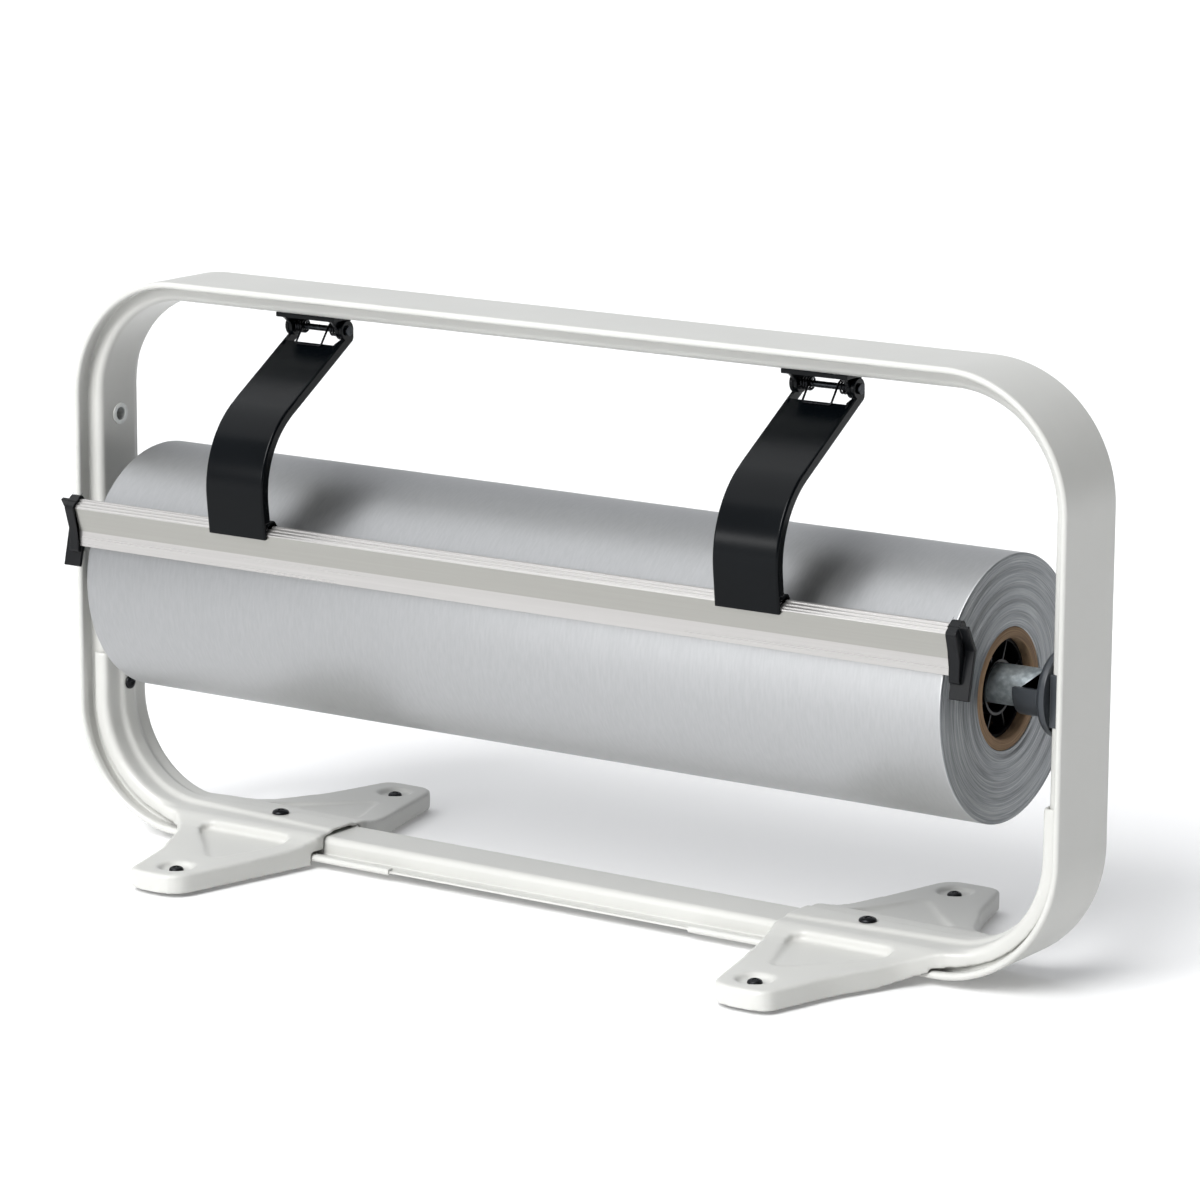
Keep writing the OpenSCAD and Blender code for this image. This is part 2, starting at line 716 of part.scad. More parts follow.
module rubber_feet() {
    color("#26272a") toe_places() difference() {
        cylinder(r = pad_r, h = toe_floor_z - foot_t, $fn = round_fn);
        translate([0, 0, 2]) cylinder(r = screw_r + screw_clear, h = toe_floor_z,
                                      $fn = small_fn);
    }
}

// A round nut whose collar sits at z = 0 and whose body hangs below
module clinch_nut(bore_r) {
    translate([0, 0, -nut_h]) difference() {
        cylinder(r = nut_r, h = nut_h, $fn = small_fn);
        translate([0, 0, -cut]) cylinder(r = bore_r, h = nut_h + 2 * cut, $fn = small_fn);
    }
}

module clinch_nuts() {
    color(steel) both_sides() {
        translate([half_w - centre_back, 0, frame_lift + hat_h - lining_t - seam_gap])
            clinch_nut(centre_r + seam_gap);
        translate([hat_x + lining_t + seam_gap, 0, tongue_screw_z]) rotate([0, -90, 0])
            clinch_nut(screw_r + seam_gap);
    }
}

module side_insert() {
    color(steel) translate([0, 0, roll_z + insert_rise]) difference() {
        union() {
            rod_x(insert_rim_r, hat_x - insert_rim_t, hat_x);
            rod_x(insert_barrel_r, hat_x - insert_rim_t, hat_x + insert_len);
        }
        rod_x(insert_r, hat_x - insert_rim_t - cut, hat_x + insert_len + cut);
    }
}

module left_side_insert() {
    mirror([1, 0, 0]) side_insert();
}

module right_side_insert() {
    side_insert();
}

module bearing_holder() {
    cradle_x = hat_x - cradle_reach;
    bore = shaft_r + shaft_clear;
    outer = bore + cradle_wall;
    color(black) translate([0, 0, shaft_z]) difference() {
        union() {
            translate([hat_x - seam_gap, 0, 0]) rotate([0, -90, 0])
                rotate_extrude($fn = 64)
                    polygon([[0, 0], [disc_r, 0], [disc_r, disc_t * 0.5],
                             [disc_r - 1.2, disc_t * 0.82], [disc_r * 0.75, disc_t],
                             [0, disc_t]]);
            translate([hat_x - cut, -hat_w / 2, block_z - shaft_z])
                cube([block_depth + cut, hat_w, block_h]);
            difference() {
                union() {
                    rod_x(outer, cradle_x, hat_x - cut);
                    translate([cradle_x, -outer, 0])
                        cube([cradle_reach - disc_t + 1.6, 2 * outer, cradle_rim]);
                }
                translate([cradle_x - cut, -2 * outer, cradle_rim])
                    cube([cradle_reach - disc_t + cut, 4 * outer, 2 * outer]);
            }
        }
        rod_x(bore, cradle_x - cut, hat_x - disc_t);
        translate([cradle_x - cut, -bore, 0])
            cube([cradle_reach - disc_t + cut, 2 * bore, 2 * outer]);
    }
}

module left_bearing_holder() {
    mirror([1, 0, 0]) bearing_holder();
}

module right_bearing_holder() {
    bearing_holder();
}

module roll_shaft() {
    half = hat_x - disc_t - shaft_end_gap;
    color(steel) translate([0, 0, shaft_z]) difference() {
        rod_x(shaft_r, -half, half);
        rod_x(shaft_r - shaft_wall, -half - cut, half + cut);
    }
}

core_half = roll_len / 2 - core_inset;

module core_hub() {
    x1 = core_half - hub_inset;
    x0 = x1 - hub_len;
    rim = core_r - core_wall - nest_gap;
    bore = shaft_r + hang + shaft_clear;
    color(black) translate([0, 0, roll_z]) {
        difference() {
            rod_x(rim, x0, x1);
            rod_x(rim - hub_wall, x0 - cut, x1 + cut);
        }
        difference() {
            union() {
                rod_x(bore + hub_wall, x0, x1);
                for (i = [0:hub_spokes - 1]) rotate([360 * (i + 0.5) / hub_spokes, 0, 0])
                    translate([x0 + 1, -hub_spoke_t / 2, bore])
                        cube([hub_len - 2, hub_spoke_t, rim - hub_wall / 2 - bore]);
            }
            rod_x(bore, x0 - cut, x1 + cut);
        }
    }
}

module left_core_hub() {
    mirror([1, 0, 0]) core_hub();
}

module right_core_hub() {
    core_hub();
}

module paper_core() {
    color("#a98a63") translate([0, 0, roll_z]) difference() {
        rod_x(core_r, -core_half, core_half, 72);
        rod_x(core_r - core_wall, -core_half - cut, core_half + cut, 72);
    }
}

module foil_roll() {
    half = roll_len / 2;
    color("#b9bcbf") translate([0, 0, roll_z]) difference() {
        rod_x(roll_r, -half, half, 96);
        rod_x(core_r + nest_gap, -half - cut, half + cut, 72);
    }
}

// Everything that swings, turned about the hinge to where the bar rests on the roll
module on_hinge() {
    translate([0, 0, hinge_z]) rotate([rest_turn, 0, 0]) children();
}

bead_side = left_of(unit(bead_run));
bead_end = bar_top + bead_run;
web_side = left_of(unit(web_run));
web_back = bar_top + web_side * lip_t;
// Where the web's rear face meets the bead's underside
under_bead = bar_top - bead_side * bead_t
    + unit(bead_run) * ((web_back - bar_top + bead_side * bead_t) * web_side
                        / (unit(bead_run) * web_side));
bar_points = [[bar_foot[0], bar_foot[1], 0], [lip_corner[0], lip_corner[1], 0],
              [bar_knee[0] + lip_t, bar_knee[1] + 0.2, 0],
              [under_bead[0], under_bead[1], 0],
              [bead_end[0] - bead_t * bead_side[0], bead_end[1] - bead_t * bead_side[1], 0.6],
              [bead_end[0], bead_end[1], 0.6], [bar_top[0], bar_top[1], 0.6],
              [bar_knee[0], bar_knee[1], 0]];

module bar_ribs(r) {
    for (t = [0.24, 0.52, 0.8])
        translate(bar_top + bead_run * t) circle(r = r, $fn = 16);
}

module tear_bar() {
    color(aluminium) on_hinge() along_x(-bar_half, bar_half) {
        polygon(rounded(bar_points));
        bar_ribs(rib_r);
    }
}

// A closed collar over the bar's end, with a bent finger tab that starts inside it
module end_cap() {
    low = [0, -cap_drop];
    collar = concat([for (p = [bar_foot + low, lip_corner + low]) [p[0], p[1], 0.3]],
                    [for (i = [2:7]) bar_points[i]]);
    tab = sheet([bar_top + [tab_t, bead_rise - 0.6], bar_knee + [tab_set_back, bead_rise],
                 bar_foot + [0, -tab_reach]], tab_t);
    color(black) on_hinge() difference() {
        union() {
            along_x(cap_from, cap_from + cap_len) polygon(rounded(collar, -cap_wall));
            along_x(cap_from - cap_gap, cap_from + tab_w) polygon(tab);
        }
        along_x(cap_from - cut, bar_half + cap_gap) {
            polygon(rounded(bar_points, -cap_gap));
            bar_ribs(rib_r + cap_gap);
        }
    }
}

module left_end_cap() {
    mirror([1, 0, 0]) end_cap();
}

module right_end_cap() {
    end_cap();
}

// A point of the arm's straight end, at a depth below its outer face and above its tip
function on_tail(d, above) =
    on_circle(bend_centre, arm_r - d, bend_to) + tail_dir * (arm_tail - above);

// Outline of the arm between two depths below its outer face, down to a distance above its tip
module arm_face(d0, d1, above) {
    outer = arc(bend_centre, arm_r - d0, bend_from, bend_to, 16);
    inner = arc(bend_centre, arm_r - d1, bend_to, bend_from, 16);
    start = face_start - face_up * d0 + face_dir * face_end;
    under = face_start - face_up * d1 + face_dir * face_end;
    polygon(concat([start], outer, [on_tail(d0, above), on_tail(d1, above)], inner, [under]));
}

// Hook over the bead's rear edge, as points from the inside of the arm's face
bead_way = unit(bead_run);
function by_bead(along, over) = bead_end + bead_way * along + bead_side * over;
claw = concat([for (a = [flange_stop * 0.9, flange_stop * 0.6]) on_tail(arm_t * 0.6, a)],
              [by_bead(claw_gap, claw_gap), by_bead(claw_gap, -bead_t - claw_gap),
               by_bead(-claw_reach, -bead_t - claw_gap),
               by_bead(-claw_reach, -bead_t - claw_gap - claw_t),
               by_bead(claw_gap + claw_t, -bead_t - claw_gap - claw_t),
               by_bead(claw_gap + claw_t, claw_gap + claw_t / 2)]);

// Outline between each ear and its flange, whose rear edge runs up to the rear of the ear
rear_start = face_start - face_up * flange_depth;
ear_corner = rear_start + face_dir * (rear_start[0] - ear_r) / cos(arm_slope);
ear_foot = face_start + face_dir * (face_end + ear_r);
ear_neck = [[ear_r, 0, 0], [0, 0, 0], concat(face_start, 0), concat(ear_foot, 0),
            concat(ear_foot - face_up * flange_depth, 0), concat(ear_corner, 3)];

module arm() {
    color(black) on_hinge() translate([arm_x, 0, 0]) difference() {
        union() {
            along_x(-arm_w / 2, arm_w / 2) arm_face(0, arm_t, 0);
            for (s = [0, 1]) mirror([s, 0, 0]) {
                along_x(ear_in, arm_w / 2) {
                    arm_face(arm_t / 2, flange_depth, flange_stop);
                    circle(r = ear_r, $fn = round_fn);
                    polygon(rounded(ear_neck));
                }
                along_x(arm_w / 2 - claw_w, arm_w / 2) polygon(claw);
            }
        }
        rod_x(pin_r + pin_clear, -arm_w, arm_w, small_fn);
    }
}

module left_arm() {
    mirror([1, 0, 0]) arm();
}

module right_arm() {
    arm();
}

module hinge_bracket() {
    top = frame_top - hat_h - seam_gap - hinge_z;
    bracket_half = arm_w / 2 + bracket_over;
    // The front edge of each cheek, which curves out from the pin to the plate's front edge
    waist = [0.1 - cheek_r, 0.8];
    flare = [0.5 - bracket_front, top - bracket_t] - waist;
    front_edge = [for (t = [0:0.2:1]) waist + [flare[0] * t, flare[1] * (1 - (1 - t) ^ 1.5)]];
    color(black) translate([arm_x, 0, hinge_z]) difference() {
        union() {
            translate([-bracket_half, -bracket_front, top - bracket_t])
                cube([2 * bracket_half, bracket_front + bracket_rear, bracket_t]);
            for (s = [0, 1]) mirror([s, 0, 0])
                along_x(cheek_out - cheek_t, cheek_out) {
                    circle(r = cheek_r, $fn = round_fn);
                    polygon(concat([[0.5 - bracket_front, top - bracket_t / 2],
                                    [bracket_rear - 1.5, top - bracket_t / 2],
                                    [cheek_r - 0.1, 0.8]], front_edge));
                }
        }
        rod_x(pin_r + seam_gap, -arm_w, arm_w, small_fn);
        for (s = [-1, 1]) translate([s * bracket_screw_dx, bracket_screw_y, 0])
            cylinder(r = bracket_screw_r + screw_clear, h = 2 * top, $fn = small_fn);
    }
}

module left_hinge_bracket() {
    mirror([1, 0, 0]) hinge_bracket();
}

module right_hinge_bracket() {
    hinge_bracket();
}

module hinge_pin() {
    head_x = arm_w / 2 + cheek_gap;
    color(steel) translate([arm_x, 0, hinge_z]) {
        rod_x(pin_r, -head_x - pin_head_t, head_x + pin_head_t, small_fn);
        for (s = [0, 1]) mirror([s, 0, 0])
            rod_x(pin_head_r, head_x, head_x + pin_head_t, small_fn);
    }
}

module left_hinge_pin() {
    mirror([1, 0, 0]) hinge_pin();
}

module right_hinge_pin() {
    hinge_pin();
}

module bracket_screws() {
    color(steel) both_sides() for (s = [-1, 1])
        translate([arm_x + s * bracket_screw_dx, bracket_screw_y, plate_z - seam_gap])
            mirror([0, 0, 1])
                screw(bracket_screw_r, bracket_head_r, bracket_head_h, bracket_t + 5);
}

// Torsion springs, as points in (x, y, z) from the middle of the hinge's axis
bail_at = turned(face_dir * bail_reach + face_up * (wire_d / 2 + seam_gap - hinge_over_face),
                 rest_turn);
tail_at = [bracket_rear - 2, hinge_drop - bracket_t - seam_gap - wire_d / 2 - 0.2];
function away(v) = atan2(v[1], v[0]);
tail_angle = away(tail_at) + acos(coil_r / norm(tail_at));
leg_angle = away(bail_at) + 360 - acos(coil_r / norm(bail_at));
coil_angle = leg_angle - tail_angle + 360 * coil_turns - (leg_angle > 360 ? 360 : 0);
coil_rings = ceil(coil_angle / 45);
coil_in = coil_out - coil_pitch * coil_angle / 360;
leg_from = coil_r * [cos(leg_angle), sin(leg_angle)];
leg_dir = unit(bail_at - leg_from);
bail_bend = 1.4;
half_spring = concat(
    [concat([coil_out], tail_at)],
    [for (i = [0:coil_rings])
        let (a = tail_angle + coil_angle * i / coil_rings)
        [coil_out - coil_pitch * (a - tail_angle) / 360, coil_r * cos(a), coil_r * sin(a)]],
    [for (i = [0:3])
        let (p = bail_at - leg_dir * bail_bend * (1 - sin(30 * i)))
        [coil_in - bail_bend * (1 - cos(30 * i)), p[0], p[1]]]);
spring_path = concat(half_spring, [for (i = [len(half_spring) - 1:-1:0])
    [-half_spring[i][0], half_spring[i][1], half_spring[i][2]]]);

function tangent(path, i) =
    unit(path[min(i + 1, len(path) - 1)] - path[max(i - 1, 0)]);
function carried(path, found, i) = i == len(path) ? found
    : let (t = tangent(path, i), n = found[i - 1])
      carried(path, concat(found, [unit(n - (n * t) * t)]), i + 1);

// One unbroken tube along a path
module tube(path, r, sides) {
    t0 = tangent(path, 0);
    normals = carried(path, [unit([1, 0, 0] - t0[0] * t0)], 1);
    count = len(path);
    points = [for (i = [0:count - 1]) let (b = cross(tangent(path, i), normals[i]))
        for (k = [0:sides - 1])
            path[i] + r * (cos(360 * k / sides) * normals[i] + sin(360 * k / sides) * b)];
    skin = [for (i = [0:count - 2]) for (k = [0:sides - 1])
        let (a = i * sides + k, b = i * sides + (k + 1) % sides)
        each [[a, a + sides, b + sides], [a, b + sides, b]]];
    near = [for (k = [1:sides - 2]) [0, k, k + 1]];
    far = [for (k = [1:sides - 2]) let (a = (count - 1) * sides) [a, a + k + 1, a + k]];
    polyhedron(points = points, faces = concat(skin, near, far), convexity = 10);
}

// Least gap from the tube to itself, between points half a turn or more apart
spring_gap = min([for (i = [0:len(spring_path) - 6]) for (j = [i + 5:len(spring_path) - 1])
    norm(spring_path[i] - spring_path[j])]) - wire_d;
echo(str("Least gap of a torsion spring to itself: ", spring_gap, " mm"));

module torsion_spring() {
    color(steel) translate([arm_x, 0, hinge_z]) tube(spring_path, wire_d / 2, 6);
}

module left_torsion_spring() {
    mirror([1, 0, 0]) torsion_spring();
}

module right_torsion_spring() {
    torsion_spring();
}

outer_band();
inner_channel();
base_rail();
left_foot();
right_foot();
toe_screws();
centre_screws();
tongue_screws();
rubber_feet();
clinch_nuts();
left_side_insert();
right_side_insert();
left_bearing_holder();
right_bearing_holder();
roll_shaft();
left_core_hub();
right_core_hub();
paper_core();
foil_roll();
tear_bar();
left_end_cap();
right_end_cap();
left_arm();
right_arm();
left_hinge_bracket();
right_hinge_bracket();
left_hinge_pin();
right_hinge_pin();
left_torsion_spring();
right_torsion_spring();
bracket_screws();
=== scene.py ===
import json
import math

import bmesh
import bpy
import numpy as np
from mathutils import Matrix, Vector

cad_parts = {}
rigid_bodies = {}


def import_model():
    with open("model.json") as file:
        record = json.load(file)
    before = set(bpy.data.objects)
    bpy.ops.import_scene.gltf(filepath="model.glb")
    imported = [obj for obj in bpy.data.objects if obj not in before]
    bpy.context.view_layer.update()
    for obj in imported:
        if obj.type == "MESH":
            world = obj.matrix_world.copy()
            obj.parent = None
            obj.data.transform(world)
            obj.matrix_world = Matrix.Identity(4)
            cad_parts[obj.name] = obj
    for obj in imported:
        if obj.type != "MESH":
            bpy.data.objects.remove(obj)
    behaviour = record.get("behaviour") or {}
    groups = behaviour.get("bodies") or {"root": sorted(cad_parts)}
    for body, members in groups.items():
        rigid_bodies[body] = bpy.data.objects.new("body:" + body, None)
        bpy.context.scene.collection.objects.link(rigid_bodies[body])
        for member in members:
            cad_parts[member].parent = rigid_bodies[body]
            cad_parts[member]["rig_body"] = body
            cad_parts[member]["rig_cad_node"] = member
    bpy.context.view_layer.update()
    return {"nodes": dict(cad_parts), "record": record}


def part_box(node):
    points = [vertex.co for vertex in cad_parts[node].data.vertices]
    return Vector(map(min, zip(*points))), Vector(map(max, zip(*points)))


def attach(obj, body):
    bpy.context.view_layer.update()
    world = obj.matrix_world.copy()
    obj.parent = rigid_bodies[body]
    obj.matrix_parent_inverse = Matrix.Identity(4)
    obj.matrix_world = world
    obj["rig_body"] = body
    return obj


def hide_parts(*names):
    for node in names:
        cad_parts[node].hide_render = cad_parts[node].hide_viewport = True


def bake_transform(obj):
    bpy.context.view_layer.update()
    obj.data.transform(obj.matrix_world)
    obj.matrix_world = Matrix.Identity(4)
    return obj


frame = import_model()
mm = 0.001
rollAxisZ = 142.2  # the roll turns about a line along X at this height, in millimetres

# small helpers


def linearColour(hexCode):
    # sRGB hex to the linear values that the shaders take
    srgb = np.array([int(hexCode[i:i + 2], 16) / 255 for i in (1, 3, 5)])
    linear = np.where(srgb <= 0.04045, srgb / 12.92, ((srgb + 0.055) / 1.055) ** 2.4)
    return (*linear.tolist(), 1.0)


def addNode(tree, kind, values=None, feeds=None, stops=None, **settings):
    # one node, with its settings, socket values, links and colour stops
    node = tree.nodes.new(kind)
    for name, value in settings.items():
        setattr(node, name, value)
    for socket, value in (values or {}).items():
        node.inputs[socket].default_value = value
    for socket, source in (feeds or {}).items():
        tree.links.new(source, node.inputs[socket])
    if stops:
        ramp = node.color_ramp
        while len(ramp.elements) < len(stops):
            ramp.elements.new(0.5)
        for element, (place, hexCode) in zip(ramp.elements, stops):
            element.position = place
            element.color = linearColour(hexCode)
    return node


def meshPiece(name, vertices, faces, smooth=True):
    # an object at the origin from points of any grid shape and faces of point numbers
    mesh = bpy.data.meshes.new(name)
    mesh.from_pydata(np.asarray(vertices).reshape(-1, 3).tolist(), [], faces)
    mesh.polygons.foreach_set("use_smooth", [smooth] * len(mesh.polygons))
    mesh.update()
    piece = bpy.data.objects.new(name, mesh)
    bpy.context.scene.collection.objects.link(piece)
    return piece


def gridFaces(rows, columns, closedRows=False, closedColumns=False):
    # quads between neighbouring grid points, numbered row by row
    r = np.arange(rows if closedRows else rows - 1)[:, None]
    c = np.arange(columns if closedColumns else columns - 1)[None, :]
    r1, c1 = (r + 1) % rows, (c + 1) % columns
    quads = np.stack([r * columns + c, r * columns + c1, r1 * columns + c1, r1 * columns + c], -1)
    return quads.reshape(-1, 4).tolist()


def sheetOutline(path, thickness):
    # a sheet's outline: its middle line moved half a thickness to either side
    way = np.gradient(path, axis=0)
    way /= np.linalg.norm(way, axis=1, keepdims=True)
    side = np.stack([-way[:, 1], way[:, 0]], 1) * thickness / 2
    return np.concatenate([path + side, (path - side)[::-1]])


def arcPoints(centre, radius, fromDeg, toDeg, count):
    # circle points: centre + radius * (cos, sin)
    a = np.radians(np.linspace(fromDeg, toDeg, count))
    return np.array(centre) + radius * np.stack([np.cos(a), np.sin(a)], 1)


def outwards(piece):
    # doubles merged and every face turned outwards
    shell = bmesh.new()
    shell.from_mesh(piece.data)
    bmesh.ops.remove_doubles(shell, verts=shell.verts, dist=1e-7)
    bmesh.ops.recalc_face_normals(shell, faces=shell.faces)
    shell.to_mesh(piece.data)
    shell.free()
    piece.data.polygons.foreach_set("use_smooth", [True] * len(piece.data.polygons))
    return piece


# how solids' skins are dressed: points merged within metres, faces joined within degrees,
# edges rounded from this many degrees on, and how far large faces lead the shading
skinRules = {"mergeWithin": 2e-6, "flatWithin": 0.6, "sharpFrom": 28, "largeFaces": 60}


def softenEdges(piece, width, segments=2, limit=skinRules["sharpFrom"]):
    # small real edge radii, then normals weighted by face area, so that flats stay flat
    bevel = piece.modifiers.new("edges", "BEVEL")
    bevel.width, bevel.segments = width * mm, segments
    bevel.limit_method, bevel.angle_limit = "ANGLE", math.radians(limit)
    bevel.use_clamp_overlap = False
    weighted = piece.modifiers.new("normals", "WEIGHTED_NORMAL")
    weighted.weight = skinRules["largeFaces"]
    return piece


def dressedCopy(node, width=0, segments=2):
    # a copy of a solid's skin with whole flat faces, smooth curves and softened edges
    piece = frame["nodes"][node].copy()
    piece.data = piece.data.copy()
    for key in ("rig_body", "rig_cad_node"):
        if key in piece:
            del piece[key]
    piece.name = piece.data.name = "dressed_" + node
    piece.parent = None
    bpy.context.scene.collection.objects.link(piece)
    shell = bmesh.new()
    shell.from_mesh(piece.data)
    bmesh.ops.remove_doubles(shell, verts=shell.verts, dist=skinRules["mergeWithin"])
    bmesh.ops.dissolve_limit(shell, angle_limit=math.radians(skinRules["flatWithin"]),
                             verts=shell.verts, edges=shell.edges)
    fresh = bpy.data.meshes.new(piece.name)
    shell.to_mesh(fresh)
    shell.free()
    piece.data = fresh
    fresh.polygons.foreach_set("use_smooth", [True] * len(fresh.polygons))
    if width:
        softenEdges(piece, width, segments)
    return piece


def workIn(piece):
    # the modifiers' result becomes the piece's own mesh
    bpy.context.view_layer.update()
    worked = bpy.data.meshes.new_from_object(piece.evaluated_get(
        bpy.context.evaluated_depsgraph_get()))
    piece.modifiers.clear()
    piece.data = worked


def bodyOf(node):
    # the record's body that holds a node
    return next(b for b, members in frame["record"]["behaviour"]["bodies"].items()
                if node in members)


def markFaces(piece, chosen):
    # the faces whose normals are chosen take the piece's second material
    faces = piece.data.polygons
    normals = np.empty(3 * len(faces))
    faces.foreach_get("normal", normals)
    faces.foreach_set("material_index", chosen(normals.reshape(-1, 3)).astype(int).tolist())


def markEnds(piece):
    # a turned piece's ends: the faces whose normals lie within 53 degrees of the X axis
    markFaces(piece, lambda normals: np.abs(normals[:, 0]) > 0.6)


def settle(piece, material, node):
    # finish, body, slot and the node that the piece stands for
    piece.data.materials.clear()
    for one in (material if isinstance(material, list) else [material]):
        piece.data.materials.append(one)
    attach(piece, bodyOf(node))
    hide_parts(node)


# camera, floor, light

view = {
    "place": (1.30995, -1.90396, 0.64581),
    "right": (0.8276128, 0.5612758, 0.0051508),
    "up": (-0.1211666, 0.1696873, 0.9780209),
    "back": (0.5480654, -0.8100467, 0.2084433),
    "lens": 144.3865, "sensor": 36.0, "nearest": 0.05, "farthest": 60,
}
cameraData = bpy.data.cameras.new("camera")
cameraData.lens, cameraData.sensor_width = view["lens"], view["sensor"]
cameraData.clip_start, cameraData.clip_end = view["nearest"], view["farthest"]
camera = bpy.data.objects.new("camera", cameraData)
turn = Matrix([view["right"], view["up"], view["back"]]).transposed().to_4x4()
camera.matrix_world = Matrix.Translation(view["place"]) @ turn
bpy.context.scene.collection.objects.link(camera)
bpy.context.scene.camera = camera
bpy.context.scene.view_settings.view_transform = "Standard"
print("camera set")

studio = {"floorSize": 60.0, "floor": "#EDEDED", "floorRough": 0.9, "glow": "#FFFFFF",
          "floorGlow": 0.14, "horizon": "#E9EAEC", "zenith": "#C6C9CE", "horizonTop": 0.05,
          "zenithFrom": 0.55, "skyPower": 0.75, "rightSide": 0.13, "darkestX": 0.6}
suns = {
    # name: direction it comes from, power, angular width in degrees
    "frontLight": ((-0.05, -0.75, 0.66), 3.1, 34),
    "leftLight": ((-0.42, -0.06, 0.91), 1.0, 64),
}
lights = {
    # name: place, aimed at, width, height, watts
    "lowStrip": ((-1.05, -2.65, 0.72), (0.1, 0, 0.2), 1.4, 0.30, 11),
}


def buildStudio():
    # a pale paper floor, two broad soft lights, a low strip whose reflection crosses the
    # arms' lower bend, and a sky that is pale at the horizon, greyer overhead and darker
    # towards the right: from the middle on, its power falls to the rightSide share
    world = bpy.data.worlds.new("studio")
    bpy.context.scene.world = world
    world.use_nodes = True
    tree = world.node_tree
    tree.nodes.clear()
    place = addNode(tree, "ShaderNodeTexCoord")
    parts = addNode(tree, "ShaderNodeSeparateXYZ", feeds={0: place.outputs["Generated"]})
    sky = addNode(tree, "ShaderNodeValToRGB", feeds={0: parts.outputs["Z"]},
                  stops=[(studio["horizonTop"], studio["horizon"]),
                         (studio["zenithFrom"], studio["zenith"])])
    power = addNode(tree, "ShaderNodeMapRange",
                    values={"From Min": 0.0, "From Max": studio["darkestX"],
                            "To Min": studio["skyPower"],
                            "To Max": studio["skyPower"] * studio["rightSide"]},
                    feeds={"Value": parts.outputs["X"]})
    light = addNode(tree, "ShaderNodeBackground",
                    feeds={"Color": sky.outputs[0], "Strength": power.outputs[0]})
    addNode(tree, "ShaderNodeOutputWorld", feeds={"Surface": light.outputs[0]})
    for name, (way, power, width) in suns.items():
        sun = bpy.data.lights.new(name, "SUN")
        sun.energy, sun.angle = power, math.radians(width)
        sunObject = bpy.data.objects.new(name, sun)
        sunObject.rotation_euler = Vector(way).to_track_quat("Z", "Y").to_euler()
        bpy.context.scene.collection.objects.link(sunObject)
    for name, (at, aim, width, height, watts) in lights.items():
        lamp = bpy.data.lights.new(name, "AREA")
        lamp.shape, lamp.size, lamp.size_y, lamp.energy = "RECTANGLE", width, height, watts
        lampObject = bpy.data.objects.new(name, lamp)
        lampObject.location = at
        lampObject.rotation_euler = (Vector(at) - Vector(aim)).to_track_quat("Z", "Y").to_euler()
        bpy.context.scene.collection.objects.link(lampObject)
    half = studio["floorSize"] / 2
    floor = meshPiece("floor", [(-half, -half, 0), (half, -half, 0), (half, half, 0),
                                (-half, half, 0)], [(0, 1, 2, 3)])
    paper = bpy.data.materials.new("paleFloor")
    paper.use_nodes = True
    shader = paper.node_tree.nodes["Principled BSDF"]
    shader.inputs["Base Color"].default_value = linearColour(studio["floor"])
    shader.inputs["Roughness"].default_value = studio["floorRough"]
    shader.inputs["Emission Color"].default_value = linearColour(studio["glow"])
    shader.inputs["Emission Strength"].default_value = studio["floorGlow"]
    floor.data.materials.append(paper)


buildStudio()
print("studio built")

# materials


def freshMaterial(name, metallic):
    # a material with its node tree and its one shader
    material = bpy.data.materials.new(name)
    material.use_nodes = True
    shader = material.node_tree.nodes["Principled BSDF"]
    shader.inputs["Metallic"].default_value = metallic
    return material, material.node_tree, shader


def spreadColours(tree, pattern, colours, first, last):
    # the colours spaced evenly over the pattern's values from first to last
    stops = [(first + (last - first) * i / (len(colours) - 1), c) for i, c in enumerate(colours)]
    tint = addNode(tree, "ShaderNodeValToRGB", feeds={0: pattern.outputs[0]}, stops=stops)
    tree.links.new(tint.outputs[0], tree.nodes["Principled BSDF"].inputs["Base Color"])


def spreadRoughness(tree, pattern, rough):
    # the pattern's usual values, 0.3 to 0.7, spread over the finish's range of roughness
    gloss = addNode(tree, "ShaderNodeMapRange",
                    values={"From Min": 0.3, "From Max": 0.7, "To Min": rough[0],
                            "To Max": rough[1]},
                    feeds={"Value": pattern.outputs[0]})
    tree.links.new(gloss.outputs[0], tree.nodes["Principled BSDF"].inputs["Roughness"])


def raiseGrain(tree, pattern, depth):
    # bump whose full height is the depth in millimetres
    height = addNode(tree, "ShaderNodeBump", values={"Distance": depth * mm, "Strength": 1.0},
                     feeds={"Height": pattern.outputs[0]})
    tree.links.new(height.outputs[0], tree.nodes["Principled BSDF"].inputs["Normal"])


